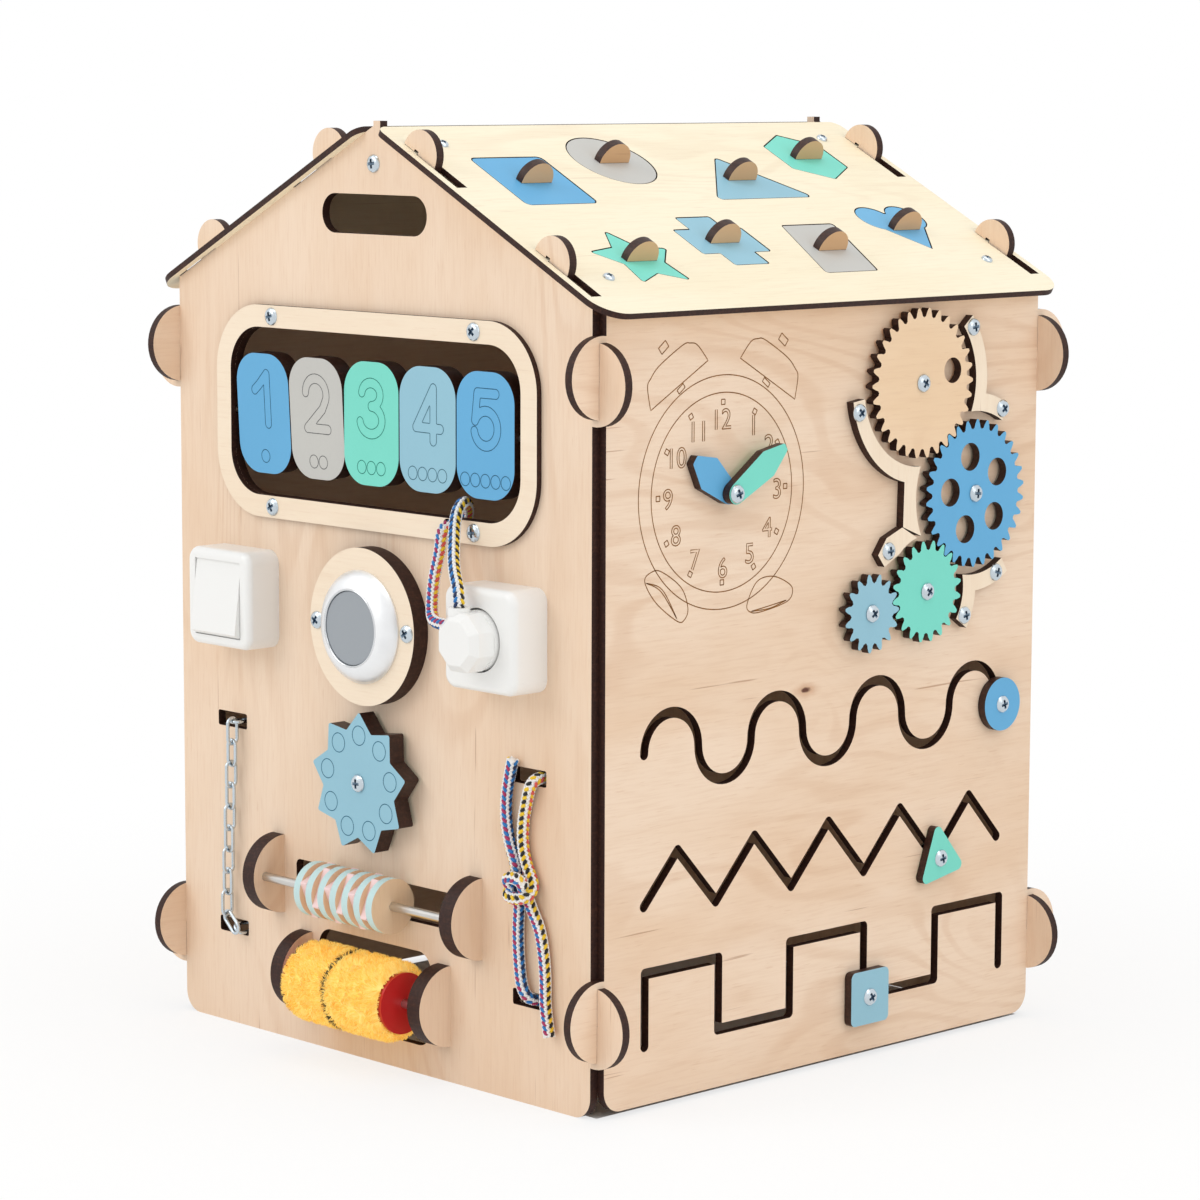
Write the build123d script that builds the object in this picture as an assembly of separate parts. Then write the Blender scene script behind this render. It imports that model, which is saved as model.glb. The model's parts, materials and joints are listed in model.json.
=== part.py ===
from build123d import *
from math import acos, asin, atan2, cos, degrees, pi, radians, sin, sqrt, tan
import os

os.makedirs("parts", exist_ok=True)

# Wooden busy board in the shape of a house, in millimetres.
# +Z is up, the gable with the window faces -Y and the panel with the clock and gears faces +X.
# "h" below is a height above the outer face of the panel that carries the piece.

# ---------------------------------------------------------------- house
ply = 6.0                    # thickness of the laser-cut boards
thin_ply = 4.0               # of the roof panels and the window frame
gable_width = 403.0
house_depth = 414.0          # over the outer faces of the two gable panels
roof_slope = 27.2            # degrees
foot_round = 14.0            # bottom corners of the panels
side_lift = 4.0              # the side panels hang this far above the gable panels
joint_radius = 25.6          # half discs of the corner joints
low_joint = 59.0             # heights of the corner joints on a gable panel
joint_below_eave = 48.69     # of the upper corner joints
joint_play = 0.2
seat_play = 0.3              # gap under a loose or turning piece
shaft_play = 0.06            # radial, in a bore that turns

# ---------------------------------------------------------------- rows on the gable, from the floor up
floor_gap = 21.8             # under the paint roller
sleeve_radius = 28.0
roller_gap = 15.6            # between the paint roller and the drum
drum_radius = 18.1
star_gap = 10.4              # between the drum and the star wheel
star_radius = 46.8
lamp_gap = 3.8               # between the star wheel and the lamp's ring
lamp_ring_radius = 51.2
window_gap = 10.3            # between the lamp's ring and the window frame
frame_bar = 14.6             # width of the window frame's bars
window_height = 111.0
handle_gap = 49.3            # between the window frame and the carrying slot
handle_height = 25.4
handle_web = 43.25           # between the carrying slot and the peak of the gable
rod_roller_h = 16.4          # axis of both rollers

sleeve_z = floor_gap + sleeve_radius
drum_z = sleeve_z + sleeve_radius + roller_gap + drum_radius
star_z = drum_z + drum_radius + star_gap + star_radius
lamp_z = star_z + star_radius + lamp_gap + lamp_ring_radius
frame_half = window_height / 2 + frame_bar
window_z = lamp_z + lamp_ring_radius + window_gap + frame_half
handle_z = window_z + frame_half + handle_gap + handle_height / 2
apex_height = handle_z + handle_height / 2 + handle_web

gable_y = house_depth / 2
wall_y = gable_y - ply
side_x = gable_width / 2 + ply
wall_x = gable_width / 2
slope = radians(roof_slope)
eave_height = apex_height - wall_x * tan(slope)
high_joint = eave_height - joint_below_eave

# The origin lies on the floor under the middle of the whole toy, rollers included.
front_reach = gable_y + rod_roller_h + sleeve_radius
back_reach = wall_y + ply / 2 + joint_radius
house_y = (front_reach - back_reach) / 2
front_y = house_y - gable_y
back_y = house_y + gable_y

front = Plane(origin=(0, front_y, 0), x_dir=(1, 0, 0), z_dir=(0, -1, 0))
back = Plane(origin=(0, back_y, 0), x_dir=(-1, 0, 0), z_dir=(0, 1, 0))
right = Plane(origin=(side_x, house_y, 0), x_dir=(0, 1, 0), z_dir=(1, 0, 0))

# ---------------------------------------------------------------- roof
roof_top = apex_height + thin_ply / cos(slope)    # where the two outer roof planes would meet
roof_overhang = 6.5                          # past the gable panels
ridge_gap = 10.6                             # from that line down the slope to a roof panel
roof_run = 248.5                             # from that line down the slope to the eave
ridge_round = 8.0
eave_round = 20.0
hook_radius = 16.2
hook_places = (49.5, 185.5)                  # middle of each hook head, down the slope
hook_neck = 18.0
hook_slot = 43.5
hook_slot_width = 8.6
nub_width = 6.5
nub_rise = 3.25              # above the peak of the gable
nub_root = 12.0              # below it
backing_ply = 4.0
backing_start = 26.0
backing_wall_gap = 9.55      # along the slope, from the edge of the gable to the backing board
backing_gable_gap = 17.0     # from the outer face of a gable panel
roof_screw_inset = (9.0, 11.0, 14.0)         # from the board's upper, lower and gable edges
backing_end = wall_x / cos(slope) - backing_wall_gap
backing_half = gable_y - backing_gable_gap
roof = Plane(origin=(0, house_y, roof_top), x_dir=(0, 1, 0), z_dir=(sin(slope), 0, cos(slope)))

# ---------------------------------------------------------------- puzzle
puzzle_play = 0.9            # around a puzzle piece in its cut-out
puzzle_sink = 0.2            # top face under the roof face
shape_size = 60.5            # square, cross, circle and height of the others
knob_radius = 13.0
knob_rise = 1.0

# ---------------------------------------------------------------- carrying slot and window
handle_width = 102.0
apex_screw_drop = 23.75      # below the peak of the gable
window_round = 29.0
frame_screw_x = 99.0
rod_diameter = 5.0
block_count = 5
block_width = 53.4
block_gap = 1.0
block_side_play = 6.6        # between the outer blocks and the frame
block_height = 79.6
block_depth = 12.0
block_round = 20.0
block_tilt = (3.0, 3.0, 0.0, 0.0, 0.0)       # degrees, top outward
rod_h = -ply / 2             # the rod lies in notches of the front panel, behind the frame
rod_drop = 1.3               # below the middle of the window
rod_grip = 9.0               # length of rod held at each side of the window
cord_diameter = 8.0
cord_hole_play = 0.5
cord_hole_x = 74.5
cord_hole_drop = 60.3        # below the middle of the window
apex_screw_z = apex_height - apex_screw_drop
window_width = block_count * (block_width + block_gap) - block_gap + 2 * block_side_play
rod_z = window_z - rod_drop
cord_hole_z = window_z - cord_hole_drop

# ---------------------------------------------------------------- switch, lamp, socket
fixture_rise = 6.8           # of the switch and the socket above the lamp's middle
fixture_z = lamp_z + fixture_rise
housing_size = 65.4
housing_round = 9.0
housing_edge = 5.0
switch_x = -130.8
switch_depth = 26.0
rocker_width = 46.6
rocker_half = 24.2
rocker_reach = 13.5          # from the rocker's pivot to its face
rocker_back = 4.0            # and to its back
rocker_pivot_h = 14.0
rocker_tilt = 7.0
rocker_play = 0.5
lamp_ring_layers = 2
lamp_hole_radius = 34.0
lamp_bezel_radius = 37.0
lamp_bezel_height = 10.0
lamp_button_radius = 24.0
lamp_travel = 2.5
lamp_body_depth = 22.0
lamp_screw_x = 44.3
socket_x = 129.4
socket_depth = 28.0
recess_radius = 20.2
recess_depth = 14.0
plug_radius = 19.0
plug_front_h = 48.0
plug_grip_h = 31.0           # where the round base turns into the eight-sided grip
plug_grip_sides = 8
plug_grip_flat = 18.2        # from its middle to a flat
plug_bevel = 4.5
plug_boss_radius = 7.0
plug_boss_x = -5.0
plug_boss_h = 39.0
pin_spread = 9.5
pin_radius = 2.0
pin_length = 11.0
pin_play = 0.35

# ---------------------------------------------------------------- star wheel
star_tips = 9
star_root = 35.6
star_h = 3.2
star_layers = 2
star_phase = 89.0
star_washer_radius = 8.0

# ---------------------------------------------------------------- chain and ropes
strap_hole = (30.5, 10.4)
strap_rise = 22.2            # of the upper holes above the star wheel's middle
chain_hole_x = -148.3
rope_hole_x = 146.3
link_length = 19.8
link_width = 10.2
link_wire = 2.4
link_slack = 0.2
chain_h = 7.0
chain_links = 9              # hanging in front of the panel
chain_aside = (8.3, 1.1)     # of the first and last of them, from the middle of the holes
chain_lean = 47.36           # degrees, of the link that leads into the lower hole
chain_pin = 3.0              # pins behind the panel that hold the ends
chain_pin_length = 20.0
link_reach = link_length / 2 - 1.5 * link_wire - link_slack / 2    # from its middle to the next one's wire
link_step = link_length - 2 * link_wire - link_slack
strap_high_z = star_z + strap_rise
chain_last_z = strap_high_z - link_reach - link_step * (chain_links - 1)
chain_drop = 2 * link_reach * cos(radians(chain_lean))
strap_low_z = chain_last_z - link_length / 2 + link_wire / 2 - chain_drop
rope_diameter = 8.0
knot_size = (12.0, 8.5, 10.5)
stop_knot_radius = 7.5

# ---------------------------------------------------------------- rollers
bracket_radius = 26.4
bracket_layers = 2
tenon_length = 14.0
rod_roller_diameter = 6.0
rod_end_play = 0.4           # between the ends of a rod and the outer layers of its brackets
drum_bracket_x = (-94.3, 90.5)      # inner faces of the two brackets
drum_discs = 7
drum_middle = -4.0
spacer_side = 27.0
drum_hole = (160.0, 24.0)
sleeve_bracket_x = (-65.7, 59.9)
sleeve_bore = 17.5
sleeve_ends = (-51.0, 44.0)
sleeve_hole = (112.0, 62.0)
hub_flange = 2.0

# ---------------------------------------------------------------- clock
clock_y = -100.3
clock_z = 383.6
hour_angle = 143.3
minute_angle = 31.2
hour_length = 38.0
minute_length = 51.5

# ---------------------------------------------------------------- gears
gear_module = 3.09
pressure_angle = 25.0
addendum = 0.85
dedendum = 1.15
backlash = 0.55
gear_h = 1.5
gear_bore = 2.5
blue_place = (131.0, 367.0)
large_direction = 125.2      # degrees, from the blue gear to the large one
mint_direction = -127.3      # from the blue gear to the mint one
small_direction = 190.3      # from the mint gear to the small one
large_teeth = 30
blue_teeth = 30
mint_teeth = 20
small_teeth = 15
finger_hole = 8.4
guide_gap = 5.5              # between the tooth tips and a guide
guide_bar = 11.0
guide_screw = 6.7            # from a fence to the screws in a guide
gear_collar = 8.0
finger_hole_play = 0.9
large_hole = (28.8, 7.0)     # finger hole, from the large gear's middle
blue_hole_reach = 25.2
blue_hole_phase = 103.0
blue_hole_count = 5

# ---------------------------------------------------------------- tracks
track_width = 7.0
wave_z = 226.0
wave_radius = 23.7
wave_start = -143.9          # centre of the first arc
wave_arcs = 7
wave_over = 10.0             # degrees that the last arc runs past its end
zig_low = 124.6
zig_high = 161.9
zig_step = 34.5
zig_count = 10
zig_end_z = 130.3
square_low = 41.4
square_high = 87.5
square_posts = (-166.1, -100.8, -35.3, 35.1, 105.5, 171.1)
slider_h = 0.4
slider_radius = 18.0
slider_side = 36.0
slider_washer = 9.0
slider_sleeve = 3.0

# ---------------------------------------------------------------- screws
screw_head = 5.6             # radius
screw_head_height = 2.6
screw_shank = 2.0
screw_play = 0.05
roof_screw_head = 4.0


def export(name, *solids):
    """Write one node; several solids are kept side by side."""
    shape = solids[0] if len(solids) == 1 else Compound(children=list(solids))
    export_step(shape, f"parts/{name}.step")


def board(plane, outline, low, high):
    """Extrude an outline drawn on a panel's outer face between two heights above it."""
    return extrude(plane.offset(low) * outline, high - low, dir=plane.z_dir)


def box_at(x0, x1, y0, y1):
    return Pos((x0 + x1) / 2, (y0 + y1) / 2) * Rectangle(x1 - x0, y1 - y0)


def polygon(*points):
    """A polygon through the points, whichever way round they are given."""
    turns = zip(points, points[1:] + points[:1])
    area = sum(a[0] * b[1] - b[0] * a[1] for a, b in turns)
    return Polygon(*(points if area > 0 else points[::-1]), align=None)


def bar(x0, y0, x1, y1, width):
    """A straight slot with round ends between two points."""
    middle = Pos((x0 + x1) / 2, (y0 + y1) / 2)
    turn = Rot(0, 0, degrees(atan2(y1 - y0, x1 - x0)))
    return middle * turn * SlotCenterToCenter(sqrt((x1 - x0) ** 2 + (y1 - y0) ** 2), width)


def wedge(start, end, reach):
    """A pie slice between two angles in degrees, less than 180 degrees wide."""
    middle = radians((start + end) / 2)
    a, b = radians(start), radians(end)
    far = reach / cos((b - a) / 4)
    return make_face(
        Polyline(
            (0, 0),
            (reach * cos(a), reach * sin(a)),
            (far * cos((a + middle) / 2), far * sin((a + middle) / 2)),
            (far * cos((b + middle) / 2), far * sin((b + middle) / 2)),
            (reach * cos(b), reach * sin(b)),
            close=True,
        )
    )


def arc_band(inner, outer, start, end):
    return (Circle(outer) - Circle(inner)) & wedge(start, end, outer * 1.3)


def polar(centre, direction, distance):
    a = radians(direction)
    return (centre[0] + distance * cos(a), centre[1] + distance * sin(a))


def holes(places, radius):
    return [Pos(*place) * Circle(radius) for place in places]


def upright(radius, low, high):
    return Pos(0, 0, low) * Cylinder(radius, high - low, align=(Align.CENTER, Align.CENTER, Align.MIN))


def screw(plane, place, seat_h, length, head=screw_head):
    """A pan-head wood screw whose head sits at height seat_h and points into the panel."""
    dome = upright(head, 0, screw_head_height)
    dome = fillet(dome.edges().sort_by(Axis.Z)[-1], screw_head_height * 0.7)
    return plane.offset(seat_h) * Pos(*place) * (dome + upright(screw_shank, -length, 0))


# ================================================================ gable panels
def slope_frame(sketch):
    """Place a sketch drawn along the right roof plane (x down the slope, y outward)."""
    return Pos(0, roof_top) * Rot(0, 0, -roof_slope) * sketch


def hook(place):
    """Neck and half-disc head that hold a roof panel; a small relief frees the inner corner."""
    neck_end = place + hook_radius
    neck = box_at(neck_end - hook_neck, neck_end, -2 * ply, seat_play)
    head = (Pos(place, seat_play) * Circle(hook_radius)) & box_at(
        place - hook_radius, neck_end, seat_play, seat_play + hook_radius
    )
    relief = box_at(neck_end - hook_neck - 4.0, neck_end - hook_neck, seat_play, seat_play + 1.6)
    return neck + (head - relief)


def gable_outline():
    body = polygon(
        (-wall_x, 0), (wall_x, 0), (wall_x, eave_height), (0, apex_height), (-wall_x, eave_height)
    )
    body = fillet(body.vertices().sort_by(Axis.Y)[:2], foot_round)
    for z in (low_joint, high_joint):
        meet = z + side_lift / 2
        for side in (-1, 1):
            body += Pos(side * (wall_x + ply / 2), z) * Circle(joint_radius)
            body -= box_at(
                side * (wall_x + ply / 2) - ply / 2 - (joint_play if side < 0 else 0),
                side * (wall_x + ply / 2) + ply / 2 + (joint_play if side > 0 else 0),
                meet,
                z + joint_radius,
            )
    for place in hook_places:
        head = slope_frame(hook(place))
        body += head + mirror(head, Plane.YZ)
    body += box_at(0, nub_width, apex_height - nub_root, apex_height + nub_rise)
    return body - (Pos(0, handle_z) * SlotOverall(handle_width, handle_height))


def bracket_slots(inner_faces, z):
    """Slots in the front panel for the tenons of a pair of roller brackets."""
    thickness = bracket_layers * ply
    left, right_face = inner_faces
    return [
        Pos(x, z) * Rectangle(thickness, tenon_length)
        for x in (left - thickness / 2, right_face + thickness / 2)
    ]


def cut_all(sketch, cutters):
    for cutter in cutters:
        sketch -= cutter
    return sketch


frame_screws = [
    (sx * frame_screw_x, window_z + sz * (window_height + frame_bar) / 2)
    for sx in (-1, 1)
    for sz in (-1, 1)
]
lamp_screws = [(-lamp_screw_x, lamp_z), (lamp_screw_x, lamp_z)]
strap_holes = [
    Pos(x, z) * RectangleRounded(*strap_hole, 1.5)
    for x in (chain_hole_x, rope_hole_x)
    for z in (strap_high_z, strap_low_z)
]
window_opening = Pos(0, window_z) * RectangleRounded(window_width, window_height, window_round)
roller_middle = sum(drum_bracket_x) / 2
sleeve_middle = sum(sleeve_bracket_x) / 2

cord_hole = Pos(cord_hole_x, cord_hole_z) * Circle(cord_diameter / 2 + cord_hole_play)

rod_length = window_width + 2 * rod_grip
rod_notch = Pos(0, rod_z) * Rectangle(rod_length, rod_diameter + 2 * screw_play)
front_outline = gable_outline() - window_opening - rod_notch - cord_hole
front_outline -= Pos(0, lamp_z) * Circle(lamp_hole_radius)
front_outline -= Pos(roller_middle, drum_z) * RectangleRounded(*drum_hole, 4.0)
front_outline -= Pos(sleeve_middle, sleeve_z) * RectangleRounded(*sleeve_hole, 12.0)
front_outline = cut_all(front_outline, strap_holes)
front_outline = cut_all(front_outline, bracket_slots(drum_bracket_x, drum_z))
front_outline = cut_all(front_outline, bracket_slots(sleeve_bracket_x, sleeve_z))
front_pilots = frame_screws + lamp_screws + [(0, apex_screw_z), (0, star_z)]
front_outline = cut_all(front_outline, holes(front_pilots, screw_shank + screw_play))
export("front_panel", board(front, front_outline, -ply, 0))

back_outline = gable_outline() - Pos(0, apex_screw_z) * Circle(screw_shank + screw_play)
export("back_panel", board(back, back_outline, -ply, 0))


# ================================================================ side panels
def side_outline():
    top = apex_height - side_x * tan(slope)
    body = Pos(0, (side_lift + top) / 2) * Rectangle(2 * wall_y, top - side_lift)
    body = fillet(body.vertices().sort_by(Axis.Y)[:2], foot_round)
    for z in (low_joint, high_joint):
        meet = z + side_lift / 2
        for side in (-1, 1):
            middle = side * (wall_y + ply / 2)
            body += Pos(middle, z + side_lift) * Circle(joint_radius)
            body -= box_at(
                middle - ply / 2 - (joint_play if side < 0 else 0),
                middle + ply / 2 + (joint_play if side > 0 else 0),
                z + side_lift - joint_radius,
                meet + joint_play,
            )
    return body


last_arc = (wave_start + 2 * wave_radius * (wave_arcs - 1), wave_z)


def wave_track():
    """A row of half rings, upper and lower by turns, with round ends."""
    body = Pos(wave_start - wave_radius, wave_z) * Circle(track_width / 2)
    inner = wave_radius - track_width / 2
    outer = wave_radius + track_width / 2
    for k in range(wave_arcs):
        low, high = (0, outer) if k % 2 == 0 else (-outer, 0)
        half_ring = (Circle(outer) - Circle(inner)) & box_at(-outer, outer, low, high)
        body += Pos(wave_start + 2 * wave_radius * k, wave_z) * half_ring
    body += Pos(*last_arc) * arc_band(inner, outer, -wave_over, 2)
    return body + Pos(*polar(last_arc, -wave_over, wave_radius)) * Circle(track_width / 2)


def zig_points():
    first = -zig_step * (zig_count // 2)
    points = []
    for k in range(zig_count - 1):
        points.append((first + zig_step * (k + 1), zig_high if k % 2 == 0 else zig_low))
    lead = zig_step * (zig_end_z - zig_high) / (zig_low - zig_high)
    return [(points[0][0] - lead, zig_end_z)] + points + [(points[-1][0] + lead, zig_end_z)]


def square_points():
    points = [(square_posts[0], square_low), (square_posts[0], square_high)]
    high = True
    for y in square_posts[1:]:
        level = square_high if high else square_low
        other = square_low if high else square_high
        points += [(y, level), (y, other)]
        high = not high
    return points


def chain_of_bars(points, width):
    body = None
    for (x0, y0), (x1, y1) in zip(points, points[1:]):
        piece = bar(x0, y0, x1, y1, width)
        body = piece if body is None else body + piece
    return body


def pitch_radius(teeth):
    return gear_module * teeth / 2


large_place = polar(blue_place, large_direction, pitch_radius(blue_teeth) + pitch_radius(large_teeth))
mint_place = polar(blue_place, mint_direction, pitch_radius(blue_teeth) + pitch_radius(mint_teeth))
small_place = polar(mint_place, small_direction, pitch_radius(mint_teeth) + pitch_radius(small_teeth))
gear_places = (large_place, blue_place, mint_place, small_place)

gear_tip = addendum * gear_module
large_fence = pitch_radius(large_teeth) + gear_tip + guide_gap
blue_fence = pitch_radius(blue_teeth) + gear_tip + guide_gap
mint_fence = pitch_radius(mint_teeth) + gear_tip + guide_gap * 0.8
left_guide_screws = [
    polar(large_place, 195.2, large_fence + guide_screw),
    polar(mint_place, 140.9, mint_fence + guide_screw + 2.0),
]
upper_guide_screws = [
    polar(large_place, 34.0, large_fence + guide_screw),
    polar(blue_place, 62.7, blue_fence + guide_screw),
]
lower_guide_screws = [
    polar(blue_place, -66.4, blue_fence + guide_screw - 1.2),
    polar(mint_place, -26.4, mint_fence + guide_screw - 0.6),
]
guide_screws = left_guide_screws + upper_guide_screws + lower_guide_screws

right_outline = side_outline() - wave_track()
right_outline -= chain_of_bars(zig_points(), track_width)
right_outline -= chain_of_bars(square_points(), track_width)
side_pilots = list(gear_places) + guide_screws + [(clock_y, clock_z)]
right_outline = cut_all(right_outline, holes(side_pilots, screw_shank + screw_play))
export("right_panel", board(right, right_outline, -ply, 0))
export("left_panel", mirror(board(right, side_outline(), -ply, 0), Plane.YZ))


# ================================================================ roof
def regular(count, radius, phase):
    return [
        (radius * cos(radians(phase + 360 * k / count)), radius * sin(radians(phase + 360 * k / count)))
        for k in range(count)
    ]


def star_shape(count, outer, inner, phase):
    points = []
    for k in range(count):
        a = radians(phase + 360 * k / count)
        b = radians(phase + 360 * (k + 0.5) / count)
        points += [(outer * cos(a), outer * sin(a)), (inner * cos(b), inner * sin(b))]
    return polygon(*points)


def heart_shape():
    lobe = shape_size / 4.1
    drop = shape_size * 0.68
    reach = sqrt(lobe**2 + drop**2)
    touch = atan2(drop, lobe) - acos(lobe / reach)
    point = (lobe + lobe * cos(-touch), -lobe * sin(touch))
    tip = polygon((-point[0], point[1]), (0, -drop), point, (lobe, lobe * 0.4), (-lobe, lobe * 0.4))
    return Pos(0, shape_size * 0.22) * (Pos(-lobe, 0) * Circle(lobe) + Pos(lobe, 0) * Circle(lobe) + tip)


def rounded(sketch, radius):
    return fillet(sketch.vertices(), radius)


half = shape_size / 2
slant = 7.5
arm = shape_size / 4
# name: outline, place along the roof, place down the slope
puzzle_shapes = {
    "square": (RectangleRounded(shape_size, shape_size, 4.0), -137.5, 84.0),
    "circle": (Circle(half + 0.6), -48.8, 60.2),
    "triangle": (rounded(polygon((-45, -27.5), (45, -27.5), (2, 27.5)), 2.5), 46.5, 87.0),
    "hexagon": (rounded(polygon(*regular(6, half + 0.6, 90)), 1.5), 136.0, 60.2),
    "star": (rounded(star_shape(5, 34.0, 18.0, 90), 1.2), -131.9, 185.0),
    "cross": (rounded(Rectangle(shape_size, 2 * arm) + Rectangle(2 * arm, shape_size), 1.5), -42.3, 167.2),
    "rhomboid": (
        rounded(
            polygon(
                (-24 - slant, -half), (24 - slant, -half), (24 + slant, half), (-24 + slant, half)
            ),
            2.0,
        ),
        44.4,
        181.8,
    ),
    "heart": (heart_shape(), 138.4, 159.8),
}


def roof_outline():
    length = house_depth + 2 * roof_overhang
    body = Pos(0, -(ridge_gap + roof_run) / 2) * Rectangle(length, roof_run - ridge_gap)
    corners = body.vertices().sort_by(Axis.Y)
    body = fillet(corners[:2], eave_round)
    body = fillet(body.vertices().sort_by(Axis.Y)[-2:], ridge_round)
    for place in hook_places:
        top = place + hook_radius - hook_neck - joint_play
        slot = Rectangle(hook_slot_width, hook_slot)
        for side in (-1, 1):
            body -= Pos(side * (gable_y - ply / 2), -(top + hook_slot / 2)) * slot
    return body


right_roof_outline = roof_outline()
for shape, along, down in puzzle_shapes.values():
    right_roof_outline -= Pos(along, -down) * offset(shape, puzzle_play, kind=Kind.INTERSECTION)
screw_rows = (backing_start + roof_screw_inset[0], backing_end - roof_screw_inset[1])
screw_reach = backing_half - roof_screw_inset[2]
roof_pilots = [(side * screw_reach, -row) for side in (1, -1) for row in screw_rows]
right_roof_outline = cut_all(right_roof_outline, holes(roof_pilots, screw_shank + screw_play))
export("right_roof_panel", board(roof, right_roof_outline, -thin_ply, 0))
export("left_roof_panel", mirror(board(roof, roof_outline(), -thin_ply, 0), Plane.YZ))

backing = box_at(-backing_half, backing_half, -backing_end, -backing_start)
backing = fillet(backing.vertices(), 6.0)
backing = cut_all(backing, holes(roof_pilots, screw_shank + screw_play))
export("roof_backing_board", board(roof, backing, -thin_ply - backing_ply, -thin_ply))
export("roof_screws", *[screw(roof, place, 0, thin_ply + backing_ply, roof_screw_head) for place in roof_pilots])

for name, (shape, along, down) in puzzle_shapes.items():
    base = -thin_ply + seat_play
    tenon = Rectangle(knob_radius, ply)
    plate = board(roof, Pos(along, -down) * (shape - tenon), base, -puzzle_sink)
    stand = Plane(
        origin=roof.from_local_coords((along, -down + ply / 2, -puzzle_sink)),
        x_dir=(0, 1, 0),
        z_dir=-roof.y_dir,
    )
    disc = Pos(0, knob_rise) * Circle(knob_radius) & box_at(
        -knob_radius, knob_radius, knob_rise, knob_rise + knob_radius
    )
    foot = box_at(-knob_radius, knob_radius, 0, knob_rise)
    peg = box_at(-knob_radius / 2, knob_radius / 2, base + puzzle_sink, 0)
    knob = extrude(stand * (disc + foot + peg), ply)
    export(f"puzzle_{name}", plate, knob)


# ================================================================ window with the number blocks
frame_outline = Pos(0, window_z) * RectangleRounded(
    window_width + 2 * frame_bar, window_height + 2 * frame_bar, window_round + frame_bar
)
frame_outline -= window_opening + cord_hole
frame_outline = cut_all(frame_outline, holes(frame_screws, screw_shank + screw_play))
export("window_frame", board(front, frame_outline, 0, thin_ply))
rod_axis = Plane(origin=(-rod_length / 2, front_y - rod_h, rod_z), x_dir=(0, 1, 0), z_dir=(1, 0, 0))
export("block_rod", extrude(rod_axis * Circle(rod_diameter / 2), rod_length))

block_pitch = block_width + block_gap
for k in range(block_count):
    middle = (k - (block_count - 1) / 2) * block_pitch
    block = board(
        front,
        Pos(middle, rod_z) * RectangleRounded(block_width, block_height, block_round),
        rod_h - block_depth / 2,
        rod_h + block_depth / 2,
    )
    bore = Plane(origin=(middle - block_width, front_y - rod_h, rod_z), x_dir=(0, 1, 0), z_dir=(1, 0, 0))
    block -= extrude(bore * Circle(rod_diameter / 2 + shaft_play), 2 * block_width)
    axis = Axis((middle, front_y - rod_h, rod_z), (1, 0, 0))
    export(f"number_block_{k + 1}", block.rotate(axis, block_tilt[k]))


# ================================================================ switch
def housing(middle_x, depth):
    outline = RectangleRounded(housing_size, housing_size, housing_round)
    shell = board(front, Pos(middle_x, fixture_z) * outline, 0, depth)
    return fillet(shell.faces().sort_by(Axis.Y)[0].edges(), housing_edge)


def rocker_profile(play):
    """Side view of the rocker about its pivot: flat face, round ends that clear the housing."""
    reach = rocker_reach + play
    end = rocker_half + play
    back_reach = rocker_back - play
    radius = sqrt(reach**2 + end**2)
    back_end = sqrt(radius**2 - back_reach**2)
    middle = radius * cos(asin(reach / radius) / 2 + asin(back_reach / radius) / 2)
    rise = radius * sin(asin(reach / radius) / 2 + asin(back_reach / radius) / 2)
    return make_face(
        Polyline((-back_end, back_reach), (back_end, back_reach))
        + ThreePointArc((back_end, back_reach), (middle, rise), (end, reach))
        + Line((end, reach), (-end, reach))
        + ThreePointArc((-end, reach), (-middle, rise), (-back_end, back_reach))
    )


pivot = Plane(
    origin=(switch_x, front_y - rocker_pivot_h, fixture_z), x_dir=(0, 0, 1), z_dir=(1, 0, 0)
)
rocker = extrude(pivot * rocker_profile(0), rocker_width / 2, both=True)
rocker = rocker.rotate(Axis((switch_x, front_y - rocker_pivot_h, fixture_z), (1, 0, 0)), -rocker_tilt)
well_radius = sqrt(rocker_reach**2 + rocker_half**2) + rocker_play
well_half = rocker_width / 2 + rocker_play
well_cut = extrude(pivot * Circle(well_radius), well_half, both=True)
well_mouth = Pos(switch_x, fixture_z) * Rectangle(2 * well_half, 2 * well_radius)
well_box = board(front, well_mouth, rocker_pivot_h - 1.0, switch_depth + 10)
export("switch_housing", housing(switch_x, switch_depth) - (well_cut & well_box))
export("switch_rocker", rocker)

# ================================================================ lamp
ring_outline = Pos(0, lamp_z) * Circle(lamp_ring_radius) - Pos(0, lamp_z) * Circle(lamp_hole_radius)
ring_outline = cut_all(ring_outline, holes(lamp_screws, screw_shank + screw_play))
export(
    "lamp_ring",
    *[board(front, ring_outline, k * ply, (k + 1) * ply) for k in range(lamp_ring_layers)],
)
ring_top = lamp_ring_layers * ply
bezel_bore = lamp_button_radius + rocker_play
lip = 1.2
bezel_profile = make_face(
    Polyline(
        (bezel_bore, 0),
        (lamp_bezel_radius, 0),
        (lamp_bezel_radius, lip),
    )
    + ThreePointArc(
        (lamp_bezel_radius, lip),
        ((lamp_bezel_radius + bezel_bore + 1.4) / 2 + 1.2, lamp_bezel_height * 0.68),
        (bezel_bore + 1.4, lamp_bezel_height),
    )
    + Polyline((bezel_bore + 1.4, lamp_bezel_height), (bezel_bore, lamp_bezel_height), (bezel_bore, 0))
)
lamp_axis = front.offset(ring_top) * Pos(0, lamp_z)
export("lamp_bezel", lamp_axis * revolve(Plane.XZ * bezel_profile, Axis.Z))
button_back = -3.0
button = Pos(0, 0, button_back) * Cylinder(
    lamp_button_radius, lamp_bezel_height - 0.6 - button_back, align=(Align.CENTER, Align.CENTER, Align.MIN)
)
button = fillet(button.edges().sort_by(Axis.Z)[-1], 0.8)
export("lamp_button", lamp_axis * button)
body_low = -ring_top - ply - lamp_body_depth
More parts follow.
